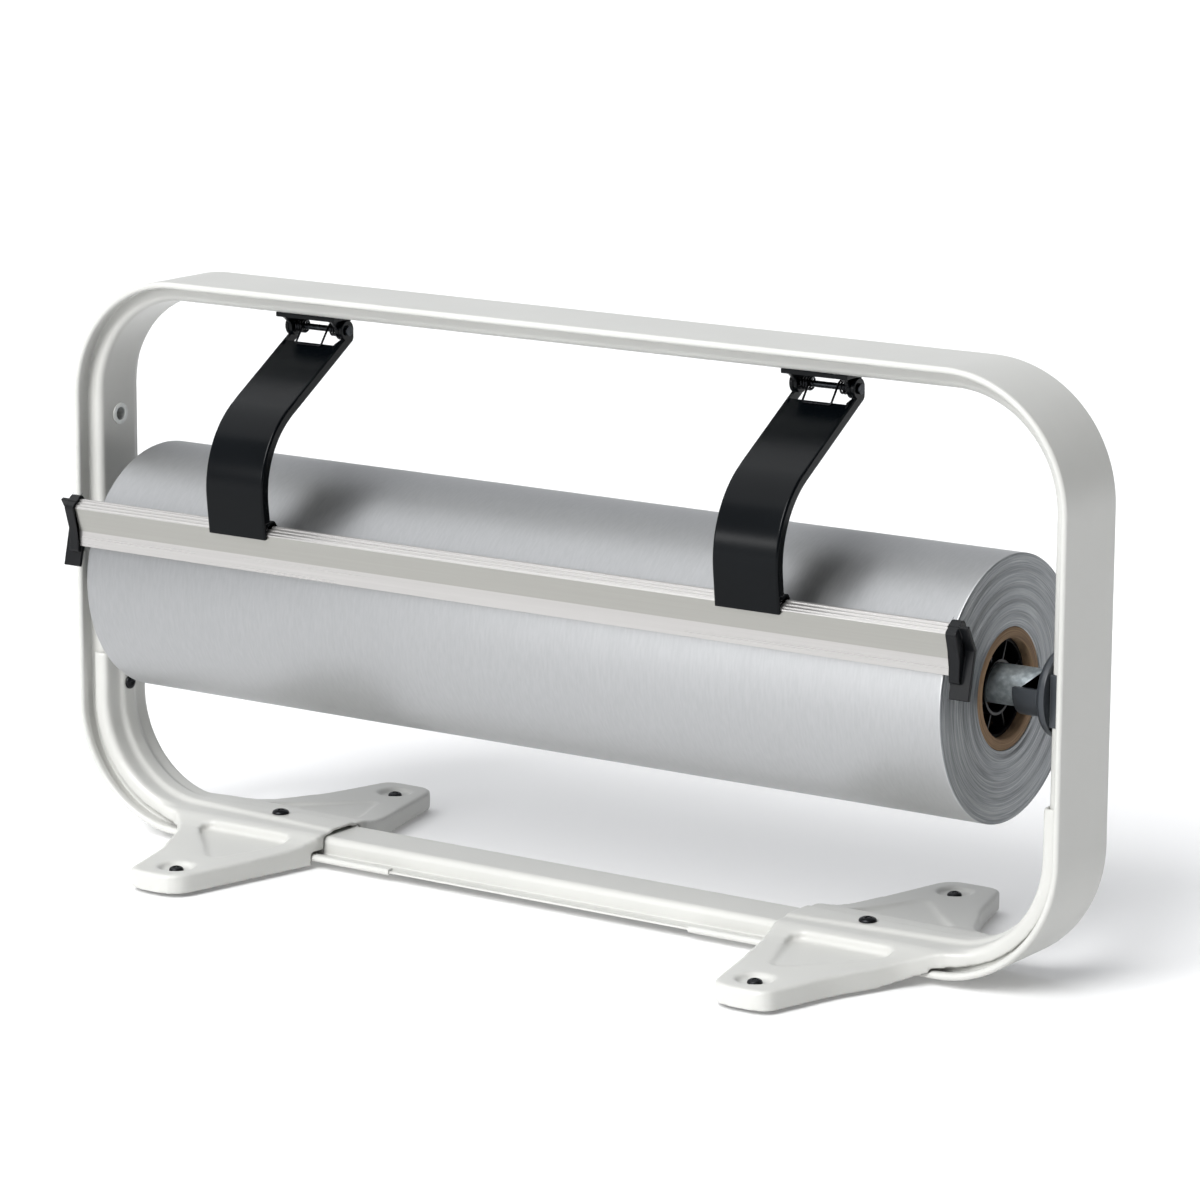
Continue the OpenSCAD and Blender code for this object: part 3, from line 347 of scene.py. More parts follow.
def surface(name, colours, size, stretch=(1, 1, 1), metallic=0.0, rough=(0.4, 0.5), bump=0.0,
            bumpSize=1.0, bumpStretch=None, ior=None, detail=3.0, specular=None,
            grainRoundX=0.0):
    # one shader with three patterns: colour, roughness and height, sizes in real millimetres
    material, tree, shader = freshMaterial(name, metallic)
    if ior:
        shader.inputs["IOR"].default_value = ior
    if specular:
        shader.inputs["Specular IOR Level"].default_value = specular
    if grainRoundX:
        # grain that runs round the X axis spreads each highlight along it
        shader.inputs["Anisotropic"].default_value = grainRoundX
        grainWay = addNode(tree, "ShaderNodeTangent", direction_type="RADIAL", axis="X")
        tree.links.new(grainWay.outputs[0], shader.inputs["Tangent"])
    place = addNode(tree, "ShaderNodeTexCoord")
    spread = addNode(tree, "ShaderNodeMapping",
                     values={"Scale": [1 / (size * mm * s) for s in stretch]},
                     feeds={"Vector": place.outputs["Object"]})
    cloud = addNode(tree, "ShaderNodeTexNoise", values={"Scale": 1.0, "Detail": detail},
                    feeds={"Vector": spread.outputs[0]})
    spreadColours(tree, cloud, colours, first=0.3, last=0.7)
    spreadRoughness(tree, cloud, rough)
    if bump:
        fine = addNode(tree, "ShaderNodeMapping",
                       values={"Scale": [1 / (bumpSize * mm * s)
                                         for s in (bumpStretch or (1, 1, 1))]},
                       feeds={"Vector": place.outputs["Object"]})
        grain = addNode(tree, "ShaderNodeTexNoise", values={"Scale": 1.0, "Detail": 2.0},
                        feeds={"Vector": fine.outputs[0]})
        raiseGrain(tree, grain, bump)
    return material


# powder coat, sprayed and baked: faint orange peel, which is drawn 0.9 mm wide, and soft gloss
powderCoat = surface("powderCoat", ["#C6C6C2", "#CACAC6"], 60, rough=(0.30, 0.36), bump=0.012,
                     bumpSize=0.9, ior=1.5)
# moulded ABS with a spark-eroded grain: satin black, slightly grey where rubbed
mouldedAbs = surface("mouldedAbs", ["#07080A", "#0B0D10"], 14, rough=(0.32, 0.38), bump=0.015,
                     bumpSize=0.5, ior=1.54, specular=0.2)
# moulded nylon of the cradles: slightly greyer and smoother than the caps
mouldedNylon = surface("mouldedNylon", ["#303438", "#383C41"], 14, rough=(0.32, 0.38), bump=0.01,
                       bumpSize=0.6, ior=1.53)
# stoved black enamel on sheet steel: deep and glossy, with wide soft reflections
blackEnamel = surface("blackEnamel", ["#030507", "#05080B"], 40, rough=(0.20, 0.24), bump=0.01,
                      bumpSize=1.6, ior=1.5, specular=0.14)
# zinc plate, passivated blue: cloudy grey with spangles of differing gloss
zincPlate = surface("zincPlate", ["#9DA7AC", "#B0BABE", "#C4CCCF"], 2.2, metallic=0.7,
                    rough=(0.30, 0.50), bump=0.02, bumpSize=0.8, detail=5)
# black oxide on steel screws: dark, a little oily
blackOxide = surface("blackOxide", ["#17181A", "#232427"], 1.5, metallic=0.7, rough=(0.28, 0.42),
                     bump=0.01, bumpSize=0.4)
# drawn spring wire, blackened: dark with draw lines, and glossy enough for thin highlights
springWire = surface("springWire", ["#1B1C1E", "#2A2B2E"], 1.2, metallic=0.9, rough=(0.18, 0.3))
# turned steel pins, oiled black
pinSteel = surface("pinSteel", ["#26282B", "#3A3D40"], 2, metallic=1.0, rough=(0.2, 0.35))
# rivet nuts sprayed over with the frame: thin light coat on steel
coatedNut = surface("coatedNut", ["#C9CCCB", "#DEDFDC"], 3, rough=(0.3, 0.4), metallic=0.2,
                    bump=0.01, bumpSize=0.7)
# natural anodised extrusion: warm satin with die lines along the bar, on the ribs and the lip;
# the web takes a darker copy, painted shade for the dim floor near the bar that it reflects
anodised = surface("anodisedAluminium", ["#B8B6B4", "#BDBBB9"], 1.2, stretch=(140, 1, 1),
                   metallic=0.85, rough=(0.27, 0.30))
webPaintedShade = surface("anodisedWebPaintedShade", ["#A2A19C", "#A5A49F"], 1.2, stretch=(140, 1, 1),
                  metallic=0.85, rough=(0.30, 0.33))
# wound foil, matt side out: streaks round the roll where the web was drawn tight
foilFace = surface("foilFace", ["#ABACAD", "#AEAFB0", "#B1B2B3"], 1.0, stretch=(1, 6, 6),
                   metallic=1.0, rough=(0.375, 0.39), bump=0.003, bumpSize=1.0,
                   bumpStretch=(1, 3, 3), detail=2, grainRoundX=0.85)
# spiral-wound kraft board: brown, fibrous, matt
kraftBoard = surface("kraftBoard", ["#66513D", "#80684F", "#967D62"], 3.0, stretch=(1, 3, 3),
                     rough=(0.75, 0.9), bump=0.06, bumpSize=0.8, ior=1.45)
# moulded rubber: matt black with a faint bloom
mouldedRubber = surface("mouldedRubber", ["#141415", "#1F1F20"], 5, rough=(0.7, 0.85), bump=0.03,
                        bumpSize=0.6, ior=1.52)


def ringMaterial(name, colours, ring, rough, bump, metallic, breaks=30.0):
    # rings about the roll's axis: noise read at the distance from the axis, with a little
    # of the place itself, so that each ring breaks up some times in a metre
    material, tree, _ = freshMaterial(name, metallic)
    place = addNode(tree, "ShaderNodeTexCoord")
    centred = addNode(tree, "ShaderNodeMapping", values={"Location": (0, 0, -rollAxisZ * mm),
                                                         "Scale": (0, 1, 1)},
                      feeds={"Vector": place.outputs["Object"]})
    far = addNode(tree, "ShaderNodeVectorMath", operation="LENGTH",
                  feeds={0: centred.outputs[0]})
    parts = addNode(tree, "ShaderNodeSeparateXYZ", feeds={0: centred.outputs[0]})
    rings = addNode(tree, "ShaderNodeMath", operation="MULTIPLY", values={1: 1 / (ring * mm)},
                    feeds={0: far.outputs["Value"]})
    across = addNode(tree, "ShaderNodeMath", operation="MULTIPLY", values={1: breaks},
                     feeds={0: parts.outputs["Y"]})
    along = addNode(tree, "ShaderNodeMath", operation="MULTIPLY", values={1: breaks},
                    feeds={0: parts.outputs["Z"]})
    spot = addNode(tree, "ShaderNodeCombineXYZ",
                   feeds={0: rings.outputs[0], 1: across.outputs[0], 2: along.outputs[0]})
    layers = addNode(tree, "ShaderNodeTexNoise", values={"Scale": 1.0, "Detail": 4.0,
                                                         "Roughness": 0.65},
                     feeds={"Vector": spot.outputs[0]})
    spreadColours(tree, layers, colours, first=0.28, last=0.72)
    spreadRoughness(tree, layers, rough)
    raiseGrain(tree, layers, bump)
    return material


# edges of some thousand turns of foil, drawn as rings 0.7 mm wide: grey, scratched, dull
foilEdges = ringMaterial("foilEdges", ["#5C5F62", "#7A7D80", "#979A9C", "#B4B6B7"], 0.7,
                         rough=(0.38, 0.6), bump=0.10, metallic=0.9)
# cut plies of the board, drawn 0.6 mm thick
boardEdges = ringMaterial("boardEdges", ["#6B543E", "#8E7358", "#A88C6C"], 0.6,
                          rough=(0.8, 0.95), bump=0.08, metallic=0.0)
print("materials made")

# frame

bandShape = {"halfWidth": 291.5, "top": 293.7, "bottom": 4.0, "bend": 65.0, "halfDepth": 24.25,
             "sheet": 1.1, "hem": 3.5, "reach": 4.0, "lip": 1.5, "flatHalf": 18.0, "endX": 90.0,
             "bendSteps": 40, "lipSteps": 4, "hemSteps": 14, "flatSteps": 7, "edgeRadius": 0.2}
liningShape = {"brim": 1.15, "sheet": 1.1, "hat": 11.06, "hatHalf": 15.0, "edge": 3.6,
               "brimHalf": 23.05, "railEnd": 190.0, "gap": 0.05, "wallEnd": 1.4,
               "footBend": 1.2, "faceInset": 1.0, "brimSteps": 6, "footSteps": 5,
               "edgeSteps": 9, "faceSteps": 5, "railSteps": 60, "edgeRadius": 0.15,
               "railEdgeRadius": 0.2}
# what is cut from the lining: a slot for each holder's block, a hole for each insert, each
# from a little before the hat's face to some way behind it
liningCuts = {"slotLow": 130.55, "slotHigh": 155.65, "slotHalf": 15.3, "slotBefore": 1.0,
              "slotBehind": 7.1, "holeRadius": 4.9, "holeBefore": 2.0, "holeBehind": 3.0}
sheetFold = 50  # degrees from which a folded sheet's edges are rounded


def frameStations(fromX, straightStep=6.0):
    # points of the frame's outer face from the bottom at +fromX round to the bottom at -fromX,
    # and at each the way inwards: straight runs and quarter circles
    b = bandShape
    cornerX, low, high = b["halfWidth"] - b["bend"], b["bottom"] + b["bend"], b["top"] - b["bend"]

    def run(p, q, inward):
        count = max(2, int(np.hypot(q[0] - p[0], q[1] - p[1]) / straightStep))
        points = np.linspace(p, q, count)
        return points, np.repeat([inward], count, 0)

    def corner(centre, fromDeg):
        points = arcPoints(centre, b["bend"], fromDeg, fromDeg + 90, b["bendSteps"])
        return points, (np.array(centre) - points) / b["bend"]

    pieces = [run((fromX, b["bottom"]), (cornerX, b["bottom"]), (0, 1)),
              corner((cornerX, low), -90),
              run((b["halfWidth"], low), (b["halfWidth"], high), (-1, 0)),
              corner((cornerX, high), 0),
              run((cornerX, b["top"]), (-cornerX, b["top"]), (0, -1)),
              corner((-cornerX, high), 90),
              run((-b["halfWidth"], high), (-b["halfWidth"], low), (1, 0)),
              corner((-cornerX, low), 180),
              run((-cornerX, b["bottom"]), (-fromX, b["bottom"]), (0, 1))]
    places = np.concatenate([p[0] for p in pieces])
    inward = np.concatenate([p[1] for p in pieces])
    keep = np.concatenate([[True], np.linalg.norm(np.diff(places, axis=0), axis=1) > 1e-6])
    return places[keep], inward[keep]


def sweepSection(name, section, places, inward):
    # a closed section of (depth, y) points carried along the stations:
    # point = station + inward * depth, with y kept; both ends closed by flat faces
    grid = np.zeros((len(places), len(section), 3))
    grid[:, :, 0] = places[:, 0:1] + inward[:, 0:1] * section[None, :, 0]
    grid[:, :, 1] = section[None, :, 1]
    grid[:, :, 2] = places[:, 1:2] + inward[:, 1:2] * section[None, :, 0]
    rows, columns = grid.shape[:2]
    faces = gridFaces(rows, columns, closedColumns=True)
    faces.append(list(range(columns)))
    faces.append(list(range((rows - 1) * columns, rows * columns))[::-1])
    return outwards(meshPiece(name, grid * mm, faces))


def straightAt(depth, fromY, toY, count):
    # a straight part of a section: (depth, y) points at one depth, evenly spaced in y
    return np.stack([np.full(count, depth), np.linspace(fromY, toY, count)], 1)


def bandSection():
    # strip's middle line: a lip, half a turn of the hem, the flat, and the same mirrored
    b = bandShape
    r, t = (b["hem"] - b["sheet"]) / 2, b["sheet"]
    lipFrom = b["halfDepth"] - b["reach"]
    lip = straightAt(b["hem"] - t / 2, lipFrom, lipFrom + b["lip"], b["lipSteps"])
    hem = arcPoints((b["hem"] / 2, b["halfDepth"] - b["hem"] / 2), r, 0, 180, b["hemSteps"])
    flat = straightAt(t / 2, b["flatHalf"], 0, b["flatSteps"])
    half = np.concatenate([lip, hem, flat])
    return sheetOutline(np.concatenate([half, (half * [1, -1])[::-1][1:]]), t)


def hatSection():
    # lining's middle line: brim, foot of the hat, wall, rounded edge and face, then mirrored
    s = liningShape
    t, e = s["sheet"], s["edge"] - s["sheet"] / 2
    wallY, faceV, brimV = s["hatHalf"] - t / 2, s["hat"] - t / 2, s["brim"] + t / 2
    bend = s["footBend"]
    brim = straightAt(brimV, s["brimHalf"], wallY + s["wallEnd"], s["brimSteps"])
    foot = arcPoints((brimV + bend, wallY + bend), bend, 180, 270, s["footSteps"])[1:]
    edge = arcPoints((faceV - e, wallY - e), e, 90, 0, s["edgeSteps"])
    face = straightAt(faceV, wallY - e - s["faceInset"], 0, s["faceSteps"])
    half = np.concatenate([brim, foot, edge, face])
    return sheetOutline(np.concatenate([half, (half * [1, -1])[::-1][1:]]), t)


def cutAway(piece, cutters):
    # the cutters' solids taken from the piece, and the cutters removed
    for cutter in cutters:
        take = piece.modifiers.new("cut", "BOOLEAN")
        take.operation, take.solver, take.object = "DIFFERENCE", "EXACT", cutter
    workIn(piece)
    for cutter in cutters:
        bpy.data.objects.remove(cutter)


def boxCutter(low, high):
    # a box between two corners in millimetres
    x, y, z = zip(low, high)
    corners = [(x[i], y[j], z[k]) for i in (0, 1) for j in (0, 1) for k in (0, 1)]
    faces = [(0, 1, 3, 2), (4, 6, 7, 5), (0, 4, 5, 1), (2, 3, 7, 6), (0, 2, 6, 4), (1, 5, 7, 3)]
    return outwards(meshPiece("cutter", np.array(corners) * mm, faces, False))


def roundCutter(radius, fromX, toX, z, around=48):
    # a cylinder along X: two rings of points, closed at both ends
    grid = np.zeros((2, around, 3))
    grid[0, :, 0], grid[1, :, 0] = fromX, toX
    grid[:, :, 1:] = arcPoints((0, z), radius, 0, 360 - 360 / around, around)
    faces = gridFaces(2, around, closedColumns=True)
    faces += [list(range(around)), list(range(around, 2 * around))[::-1]]
    return outwards(meshPiece("cutter", grid * mm, faces, False))


def buildFrame():
    # band, lining and rail, each its section carried along the frame's line
    b, s, cut = bandShape, liningShape, liningCuts
    places, inward = frameStations(b["endX"])
    band = sweepSection("frameBand", bandSection(), places, inward)
    settle(softenEdges(band, b["edgeRadius"], limit=sheetFold), powderCoat,
           "outer_band")
    places, inward = frameStations(s["railEnd"] + s["gap"])
    lining = sweepSection("frameLining", hatSection(), places, inward)
    hatX = b["halfWidth"] - s["hat"]
    insertLow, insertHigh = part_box("right_side_insert")
    insertZ = (insertLow.z + insertHigh.z) / 2 / mm
    cutters = []
    for side in (-1, 1):
        fromX, toX = sorted((side * (hatX - cut["slotBefore"]), side * (hatX + cut["slotBehind"])))
        cutters.append(boxCutter((fromX, -cut["slotHalf"], cut["slotLow"]),
                                 (toX, cut["slotHalf"], cut["slotHigh"])))
        fromX, toX = sorted((side * (hatX - cut["holeBefore"]), side * (hatX + cut["holeBehind"])))
        cutters.append(roundCutter(cut["holeRadius"], fromX, toX, insertZ))
    cutAway(lining, cutters)
    settle(softenEdges(lining, s["edgeRadius"], limit=sheetFold), powderCoat,
           "inner_channel")
    xs = np.linspace(-s["railEnd"], s["railEnd"], s["railSteps"])
    places = np.stack([xs, np.full_like(xs, b["bottom"])], 1)
    rail = sweepSection("frameRail", hatSection(), places, np.repeat([(0.0, 1.0)], len(xs), 0))
    settle(softenEdges(rail, s["railEdgeRadius"], limit=sheetFold), powderCoat,
           "base_rail")


buildFrame()
print("frame built")

# feet

footShape = {"voxel": 1.0, "rounds": 10, "strength": 0.5}


def buildFoot(node):
    # a pressing has no sharp edge: the solid's skin is remade on an even grid of voxels and
    # each point is moved half-way to its neighbours' mean, some rounds long
    piece = dressedCopy(node)
    remesh = piece.modifiers.new("even", "REMESH")
    remesh.mode, remesh.voxel_size = "VOXEL", footShape["voxel"] * mm
    soften = piece.modifiers.new("soften", "SMOOTH")
    soften.factor, soften.iterations = footShape["strength"], footShape["rounds"]
    workIn(piece)
    faces = piece.data.polygons
    faces.foreach_set("use_smooth", [True] * len(faces))
    settle(piece, powderCoat, node)
    print(node, "pressed:", len(faces), "faces")


for node in ("left_foot", "right_foot"):
    buildFoot(node)

# roll

rollShape = {"radius": 63.73, "half": 251.0, "bore": 29.25, "around": 240, "sideSteps": 90,
             "sideInset": 1.2, "endSteps": 36, "endInset": 1.4, "boreInset": 0.3,
             "boreBevel": 0.5, "edgeRadius": 0.9, "edgeSteps": 4, "wave": 0.10, "waveLength": 34,
             # the ends: rings, a dip next to the core, and a few larger steps about stepAt
             "endDip": 0.2, "ringHeight": 0.25, "ringRate": 1.9, "coreDip": 0.35,
             "coreDipWidth": 2.5, "stepHeight": 0.18, "stepRate": 0.83, "stepAt": 44,
             "stepSpread": 10}


def lathe(outline, around=96, axisZ=rollAxisZ):
    # a closed outline of (x, r) points turned about a line along X at height axisZ:
    # y = r cos a, z = axisZ + r sin a
    a = np.linspace(0, 2 * np.pi, around, endpoint=False)[None, :]
    x, r = outline[:, 0:1], outline[:, 1:2]
    grid = np.zeros((len(outline), around, 3))
    grid[:, :, 0] = x
    grid[:, :, 1] = r * np.cos(a)
    grid[:, :, 2] = axisZ + r * np.sin(a)
    faces = gridFaces(len(outline), around, closedRows=True, closedColumns=True)
    return grid, faces, a, x, r


def swell(grid, a, rise):
    # each point moved away from the roll's axis by rise
    grid[:, :, 1] += rise * np.cos(a)
    grid[:, :, 2] += rise * np.sin(a)


def mirrored(outline):
    # the same (x, r) points on the other end, in the order that closes the outline
    return (outline * [-1, 1])[::-1]


def softNoise(u, v, seed, terms=7):
    # a sum of sines with seeded directions and phases, each finer and weaker than the last:
    # smooth, repeatable unevenness, mostly between -1 and 1
    draw = np.random.default_rng(seed)
    total = np.zeros(np.broadcast(u, v).shape)
    for i in range(terms):
        ku, kv, phase = draw.uniform(-1, 1), draw.integers(1, 6), draw.uniform(0, 6.28)
        total += np.sin(ku * u * (i + 1) + kv * v + phase) / (i + 1.5)
    return total / 1.6


def buildFoil():
    # the wound roll: a turned outline whose side waves and whose ends stand out in rings
    s = rollShape
    r, h, bore, rim = s["radius"], s["half"], s["bore"], s["edgeRadius"]
    side = np.stack([np.linspace(s["sideInset"] - h, h - s["sideInset"], s["sideSteps"]),
                     np.full(s["sideSteps"], r)], 1)
    edge = arcPoints((h - rim, r - rim), rim, 80, 10, s["edgeSteps"])
    end = np.stack([np.full(s["endSteps"], h),
                    np.linspace(r - s["endInset"], bore + s["boreInset"], s["endSteps"])], 1)
    boreHalf = h - s["boreBevel"]
    inside = np.array([[boreHalf, bore], [0, bore], [-boreHalf, bore]])
    outline = np.concatenate([side, edge, end, inside, mirrored(end), mirrored(edge)])
    grid, faces, a, x, rr = lathe(outline, s["around"])
    # the web lies slightly uneven along the roll, never prouder than the wound radius, and
    # the ends' outermost points move with it
    onSide = rr > r - s["endInset"] - 0.1
    swell(grid, a, s["wave"] * (softNoise(x / s["waveLength"], a, 3) - 1) * onSide)
    # each end's layers stand in and out in rings, most near the core
    onEnd = (np.abs(x) > h - 0.01) & (rr < r - rim)
    rings = s["ringHeight"] * softNoise(rr * s["ringRate"], a, 8)
    dip = s["coreDip"] * (rr < bore + s["coreDipWidth"])
    steps = (s["stepHeight"] * np.sign(np.sin(rr * s["stepRate"]))
             * np.exp(-((rr - s["stepAt"]) / s["stepSpread"]) ** 2))
    grid[:, :, 0] += np.sign(x) * np.where(onEnd, rings - dip + steps - s["endDip"], 0)
    roll = outwards(meshPiece("foilRoll", grid * mm, faces))
    settle(roll, [foilFace, foilEdges], "foil_roll")
    markEnds(roll)


def buildCore():
    # a tube of board: its rims are worn round and its bore shows the winding's spiral seam
    core = {"outer": 29.16, "inner": 23.76, "half": 250.2, "round": 0.5, "worn": (0.2, 0.15),
            "pitch": 118.0, "seam": 0.25, "seamWidth": 0.09, "outerSteps": 80,
            "innerSteps": 160}
    e, ro, ri, h = core["round"], core["outer"], core["inner"], core["half"]
    back, down = core["worn"]
    outer = np.stack([np.linspace(-h + e, h - e, core["outerSteps"]),
                      np.full(core["outerSteps"], ro)], 1)
    right = np.array([[h - back, ro - down], [h, ro - e], [h, (ro + ri) / 2], [h, ri + e],
                      [h - back, ri + down]])
    inner = np.stack([np.linspace(h - e, -h + e, core["innerSteps"]),
                      np.full(core["innerSteps"], ri)], 1)
    outline = np.concatenate([outer, right, inner, mirrored(right)])
    grid, faces, a, x, rr = lathe(outline)
    phase = (x / core["pitch"] * 2 * np.pi - a) % (2 * np.pi)
    swell(grid, a, core["seam"] * np.exp(-((phase - np.pi) / core["seamWidth"]) ** 2)
          * (rr < ri + 0.1))
    tube = outwards(meshPiece("paperCore", grid * mm, faces))
    settle(tube, [kraftBoard, boardEdges], "paper_core")
    markEnds(tube)


def buildShaft():
    # a sawn and deburred tube: chamfered rims, and a faint weld line inside
    shaft = {"axisZ": 144.3, "radius": 9.6, "wall": 1.5, "half": 274.34, "chamfer": 0.4,
             "weld": 0.25, "weldAt": 4.4, "weldWidth": 0.09, "outerSteps": 60,
             "innerSteps": 20, "edgeRadius": 0.12, "sharpFrom": 30}
    r, w, h, c = shaft["radius"], shaft["wall"], shaft["half"], shaft["chamfer"]
    outer = np.stack([np.linspace(-h + c, h - c, shaft["outerSteps"]),
                      np.full(shaft["outerSteps"], r)], 1)
    right = np.array([[h, r - c], [h, r - w + c]])
    inner = np.stack([np.linspace(h - c, -h + c, shaft["innerSteps"]),
                      np.full(shaft["innerSteps"], r - w)], 1)
    outline = np.concatenate([outer, right, inner, mirrored(right)])
    grid, faces, a, x, rr = lathe(outline, axisZ=shaft["axisZ"])
    swell(grid, a, -shaft["weld"] * np.exp(-((a - shaft["weldAt"]) / shaft["weldWidth"]) ** 2)
          * (rr < r - w + 0.1))
    tube = outwards(meshPiece("carryTube", grid * mm, faces))
    settle(softenEdges(tube, shaft["edgeRadius"], limit=shaft["sharpFrom"]), zincPlate,
           "roll_shaft")


buildFoil()
buildCore()
buildShaft()
print("roll built")

# springs

springShape = {"wire": 1.1, "coil": 3.0, "pitch": 1.55, "turns": 3, "outX": 12.7, "armX": 149.5,
               "hingeZ": 274.74, "slope": 32.0, "restTurn": -0.0125, "bailReach": 11.8,
               "bailDrop": -1.4, "tail": (6.0, 4.8), "bend": 1.4, "sides": 12,
               "coilStep": 12, "bendSteps": 7,
               "windFrom": (-3.2, -2.0), "windTo": (-9.5, -7.0)}


def springPath(s):
    # half of a double torsion spring: rear tail, close turns about the pin, leg, bail corner;
    # the other half is its mirror image
    slope, rest = math.radians(s["slope"]), math.radians(s["restTurn"])
    way = np.array([-math.cos(slope), -math.sin(slope)])
    up = np.array([-math.sin(slope), math.cos(slope)])
    spin = np.array([[math.cos(rest), -math.sin(rest)], [math.sin(rest), math.cos(rest)]])
    bail = spin @ (way * s["bailReach"] + up * s["bailDrop"])
    tail, r = np.array(s["tail"]), s["coil"]
    tailAngle = math.degrees(math.atan2(tail[1], tail[0]) + math.acos(r / np.linalg.norm(tail)))
    legAngle = (math.degrees(math.atan2(bail[1], bail[0])) + 360
                - math.degrees(math.acos(r / np.linalg.norm(bail))))
    coilAngle = legAngle - tailAngle + 360 * s["turns"] - (360 if legAngle > 360 else 0)
    a = np.linspace(0, coilAngle, int(coilAngle / s["coilStep"]))
    turns = np.stack([s["outX"] - s["pitch"] * a / 360,
                      r * np.cos(np.radians(tailAngle + a)),
                      r * np.sin(np.radians(tailAngle + a))], 1)
    coilIn = turns[-1, 0]
    legFrom = r * np.array([math.cos(math.radians(legAngle)), math.sin(math.radians(legAngle))])
    legWay = (bail - legFrom) / np.linalg.norm(bail - legFrom)
    b = np.radians(np.linspace(0, 90, s["bendSteps"]))
    bend = np.zeros((len(b), 3))
    bend[:, 0] = coilIn - s["bend"] * (1 - np.cos(b))
    bend[:, 1:] = bail - legWay * s["bend"] * (1 - np.sin(b))[:, None]
    half = np.concatenate([[[s["outX"], *tail]], turns, bend])
    return np.concatenate([half, (half * [-1, 1, 1])[::-1]])


def wireAlong(name, path, radius, sides):
    # a round wire: at each point a circle square to the path, its start turned along with it
    way = np.gradient(path, axis=0)
    way /= np.linalg.norm(way, axis=1, keepdims=True)
    normal = np.zeros_like(path)
    first = np.array([1.0, 0, 0]) - way[0, 0] * way[0]
    normal[0] = first / np.linalg.norm(first)
    for i in range(1, len(path)):
        carried = normal[i - 1] - np.dot(normal[i - 1], way[i]) * way[i]
        normal[i] = carried / np.linalg.norm(carried)
    cross = np.cross(way, normal)
    a = np.linspace(0, 2 * np.pi, sides, endpoint=False)
    grid = (path[:, None] + radius * (np.cos(a)[None, :, None] * normal[:, None]
                                      + np.sin(a)[None, :, None] * cross[:, None]))
    faces = gridFaces(len(path), sides, closedColumns=True)
    faces.append(list(range(sides)))
    faces.append(list(range((len(path) - 1) * sides, len(path) * sides))[::-1])
    return outwards(meshPiece(name, grid * mm, faces))


def buildSprings():
    # a wire at each arm, drawn at the arms' rest turn
    s = springShape
    path = springPath(s)
    for side, name, node in ((-1, "springWireleft", "left_torsion_spring"),
                             (1, "springWirerigh", "right_torsion_spring")):
        wire = wireAlong(name, path + [side * s["armX"], 0, s["hingeZ"]], s["wire"] / 2,
                         s["sides"])
        wire.data.materials.append(springWire)
        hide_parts(node)
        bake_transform(wire)


buildSprings()
print("springs built")

# other pieces, from their solids

dressing = {
    # node: edge radius in mm, segments, finish, slot
    "left_arm": (0.45, 3, blackEnamel, "black_gloss"),
    "right_arm": (0.45, 3, blackEnamel, "black_gloss"),
    "left_hinge_bracket": (0.3, 2, blackEnamel, "black_gloss"),
    "right_hinge_bracket": (0.3, 2, blackEnamel, "black_gloss"),
    "left_hinge_pin": (0.2, 2, pinSteel, "black_steel"),
    "right_hinge_pin": (0.2, 2, pinSteel, "black_steel"),
    "bracket_screws": (0.12, 2, pinSteel, "zinc_steel"),
    "left_bearing_holder": (0.5, 3, mouldedNylon, "black_plastic"),
    "right_bearing_holder": (0.5, 3, mouldedNylon, "black_plastic"),
    "left_core_hub": (0.2, 2, mouldedAbs, "black_plastic"),
    "right_core_hub": (0.2, 2, mouldedAbs, "black_plastic"),
    "left_end_cap": (0.4, 3, mouldedAbs, "black_plastic"),
    "right_end_cap": (0.4, 3, mouldedAbs, "black_plastic"),
    "tear_bar": (0.15, 2, [anodised, webPaintedShade], "anodised_aluminium"),
    "toe_screws": (0.15, 2, blackOxide, "black_steel"),
    "centre_screws": (0.15, 2, blackOxide, "black_steel"),
    "tongue_screws": (0.15, 2, blackOxide, "black_steel"),
    "left_side_insert": (0.2, 2, coatedNut, "zinc_steel"),
    "right_side_insert": (0.2, 2, coatedNut, "zinc_steel"),
    "clinch_nuts": (0.2, 2, zincPlate, "zinc_steel"),
    "rubber_feet": (0.6, 3, mouldedRubber, "rubber"),
}
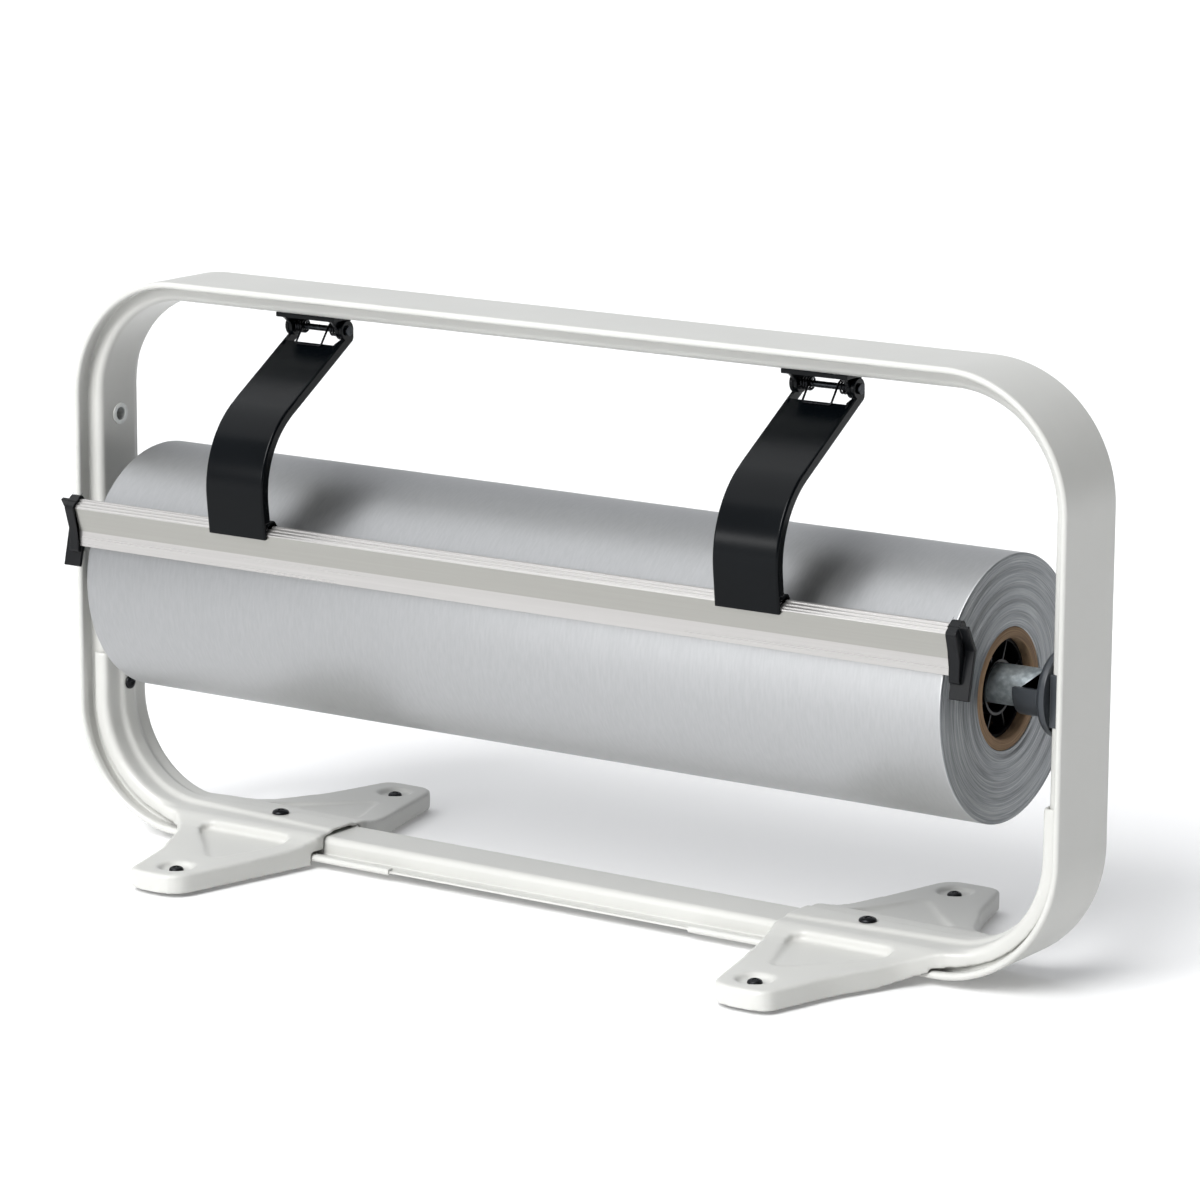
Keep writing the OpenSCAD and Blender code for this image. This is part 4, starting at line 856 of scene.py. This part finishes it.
# the arms' folds: bend radius, and how far from the hinge's axis they begin; a flange's
# normal has at least flangeX along X, the front's at most frontX, and at least frontZ up
foldShape = {"radius": 1.3, "segments": 4, "from": 10.2, "flangeX": 0.99, "frontX": 0.1,
             "frontZ": -0.3}
# the way that the front of the bar's web faces, and within how many degrees: the faces that take
# the painted shade
barShape = {"webWay": (0, -0.957, -0.29), "webSpread": 3.0}


def foldArm(piece, width):
    # the arm's sheet is bent into its flanges with a wide radius, so its bevel is set by edge
    # weights: wide at the folds, where a flange, whose normal runs along X, meets the front
    # face below the hinge, and narrow elsewhere
    reach, hingeZ = foldShape["from"] * mm, springShape["hingeZ"] * mm
    slope = math.radians(springShape["slope"])
    down = Vector((0, -math.cos(slope), -math.sin(slope)))
    sharp = math.radians(skinRules["sharpFrom"])
    shell = bmesh.new()
    shell.from_mesh(piece.data)
    weight = shell.edges.layers.float.new("bevel_weight_edge")
    # the front face is cut where the folds stop
    bmesh.ops.bisect_plane(shell, geom=shell.verts[:] + shell.edges[:] + shell.faces[:],
                           dist=1e-6, plane_no=down,
                           plane_co=Vector((0, 0, hingeZ)) + down * reach)
    for edge in shell.edges:
        if len(edge.link_faces) == 2 and edge.calc_face_angle(0) > sharp:
            a, b = sorted((face.normal for face in edge.link_faces), key=lambda n: abs(n.x))
            middle = (edge.verts[0].co + edge.verts[1].co) / 2
            flange, front = abs(b.x) > foldShape["flangeX"], abs(a.x) < foldShape["frontX"]
            below = math.hypot(middle.y, middle.z - hingeZ) > reach
            folded = below and flange and front and a.y < 0 and a.z > foldShape["frontZ"]
            edge[weight] = 1.0 if folded else width / foldShape["radius"]
    shell.to_mesh(piece.data)
    shell.free()
    bevel = piece.modifiers["edges"]
    bevel.limit_method, bevel.segments = "WEIGHT", foldShape["segments"]
    bevel.width = foldShape["radius"] * mm


for node, (width, segments, finish, slot) in dressing.items():
    piece = dressedCopy(node, width, segments)
    if node.endswith("_arm"):
        foldArm(piece, width)
    settle(piece, finish, node)
    if node == "tear_bar":
        # the web's faces take the darker copy: painted shade
        markFaces(piece, lambda normals: normals @ np.array(barShape["webWay"])
                  > math.cos(math.radians(barShape["webSpread"])))
print("pieces dressed")
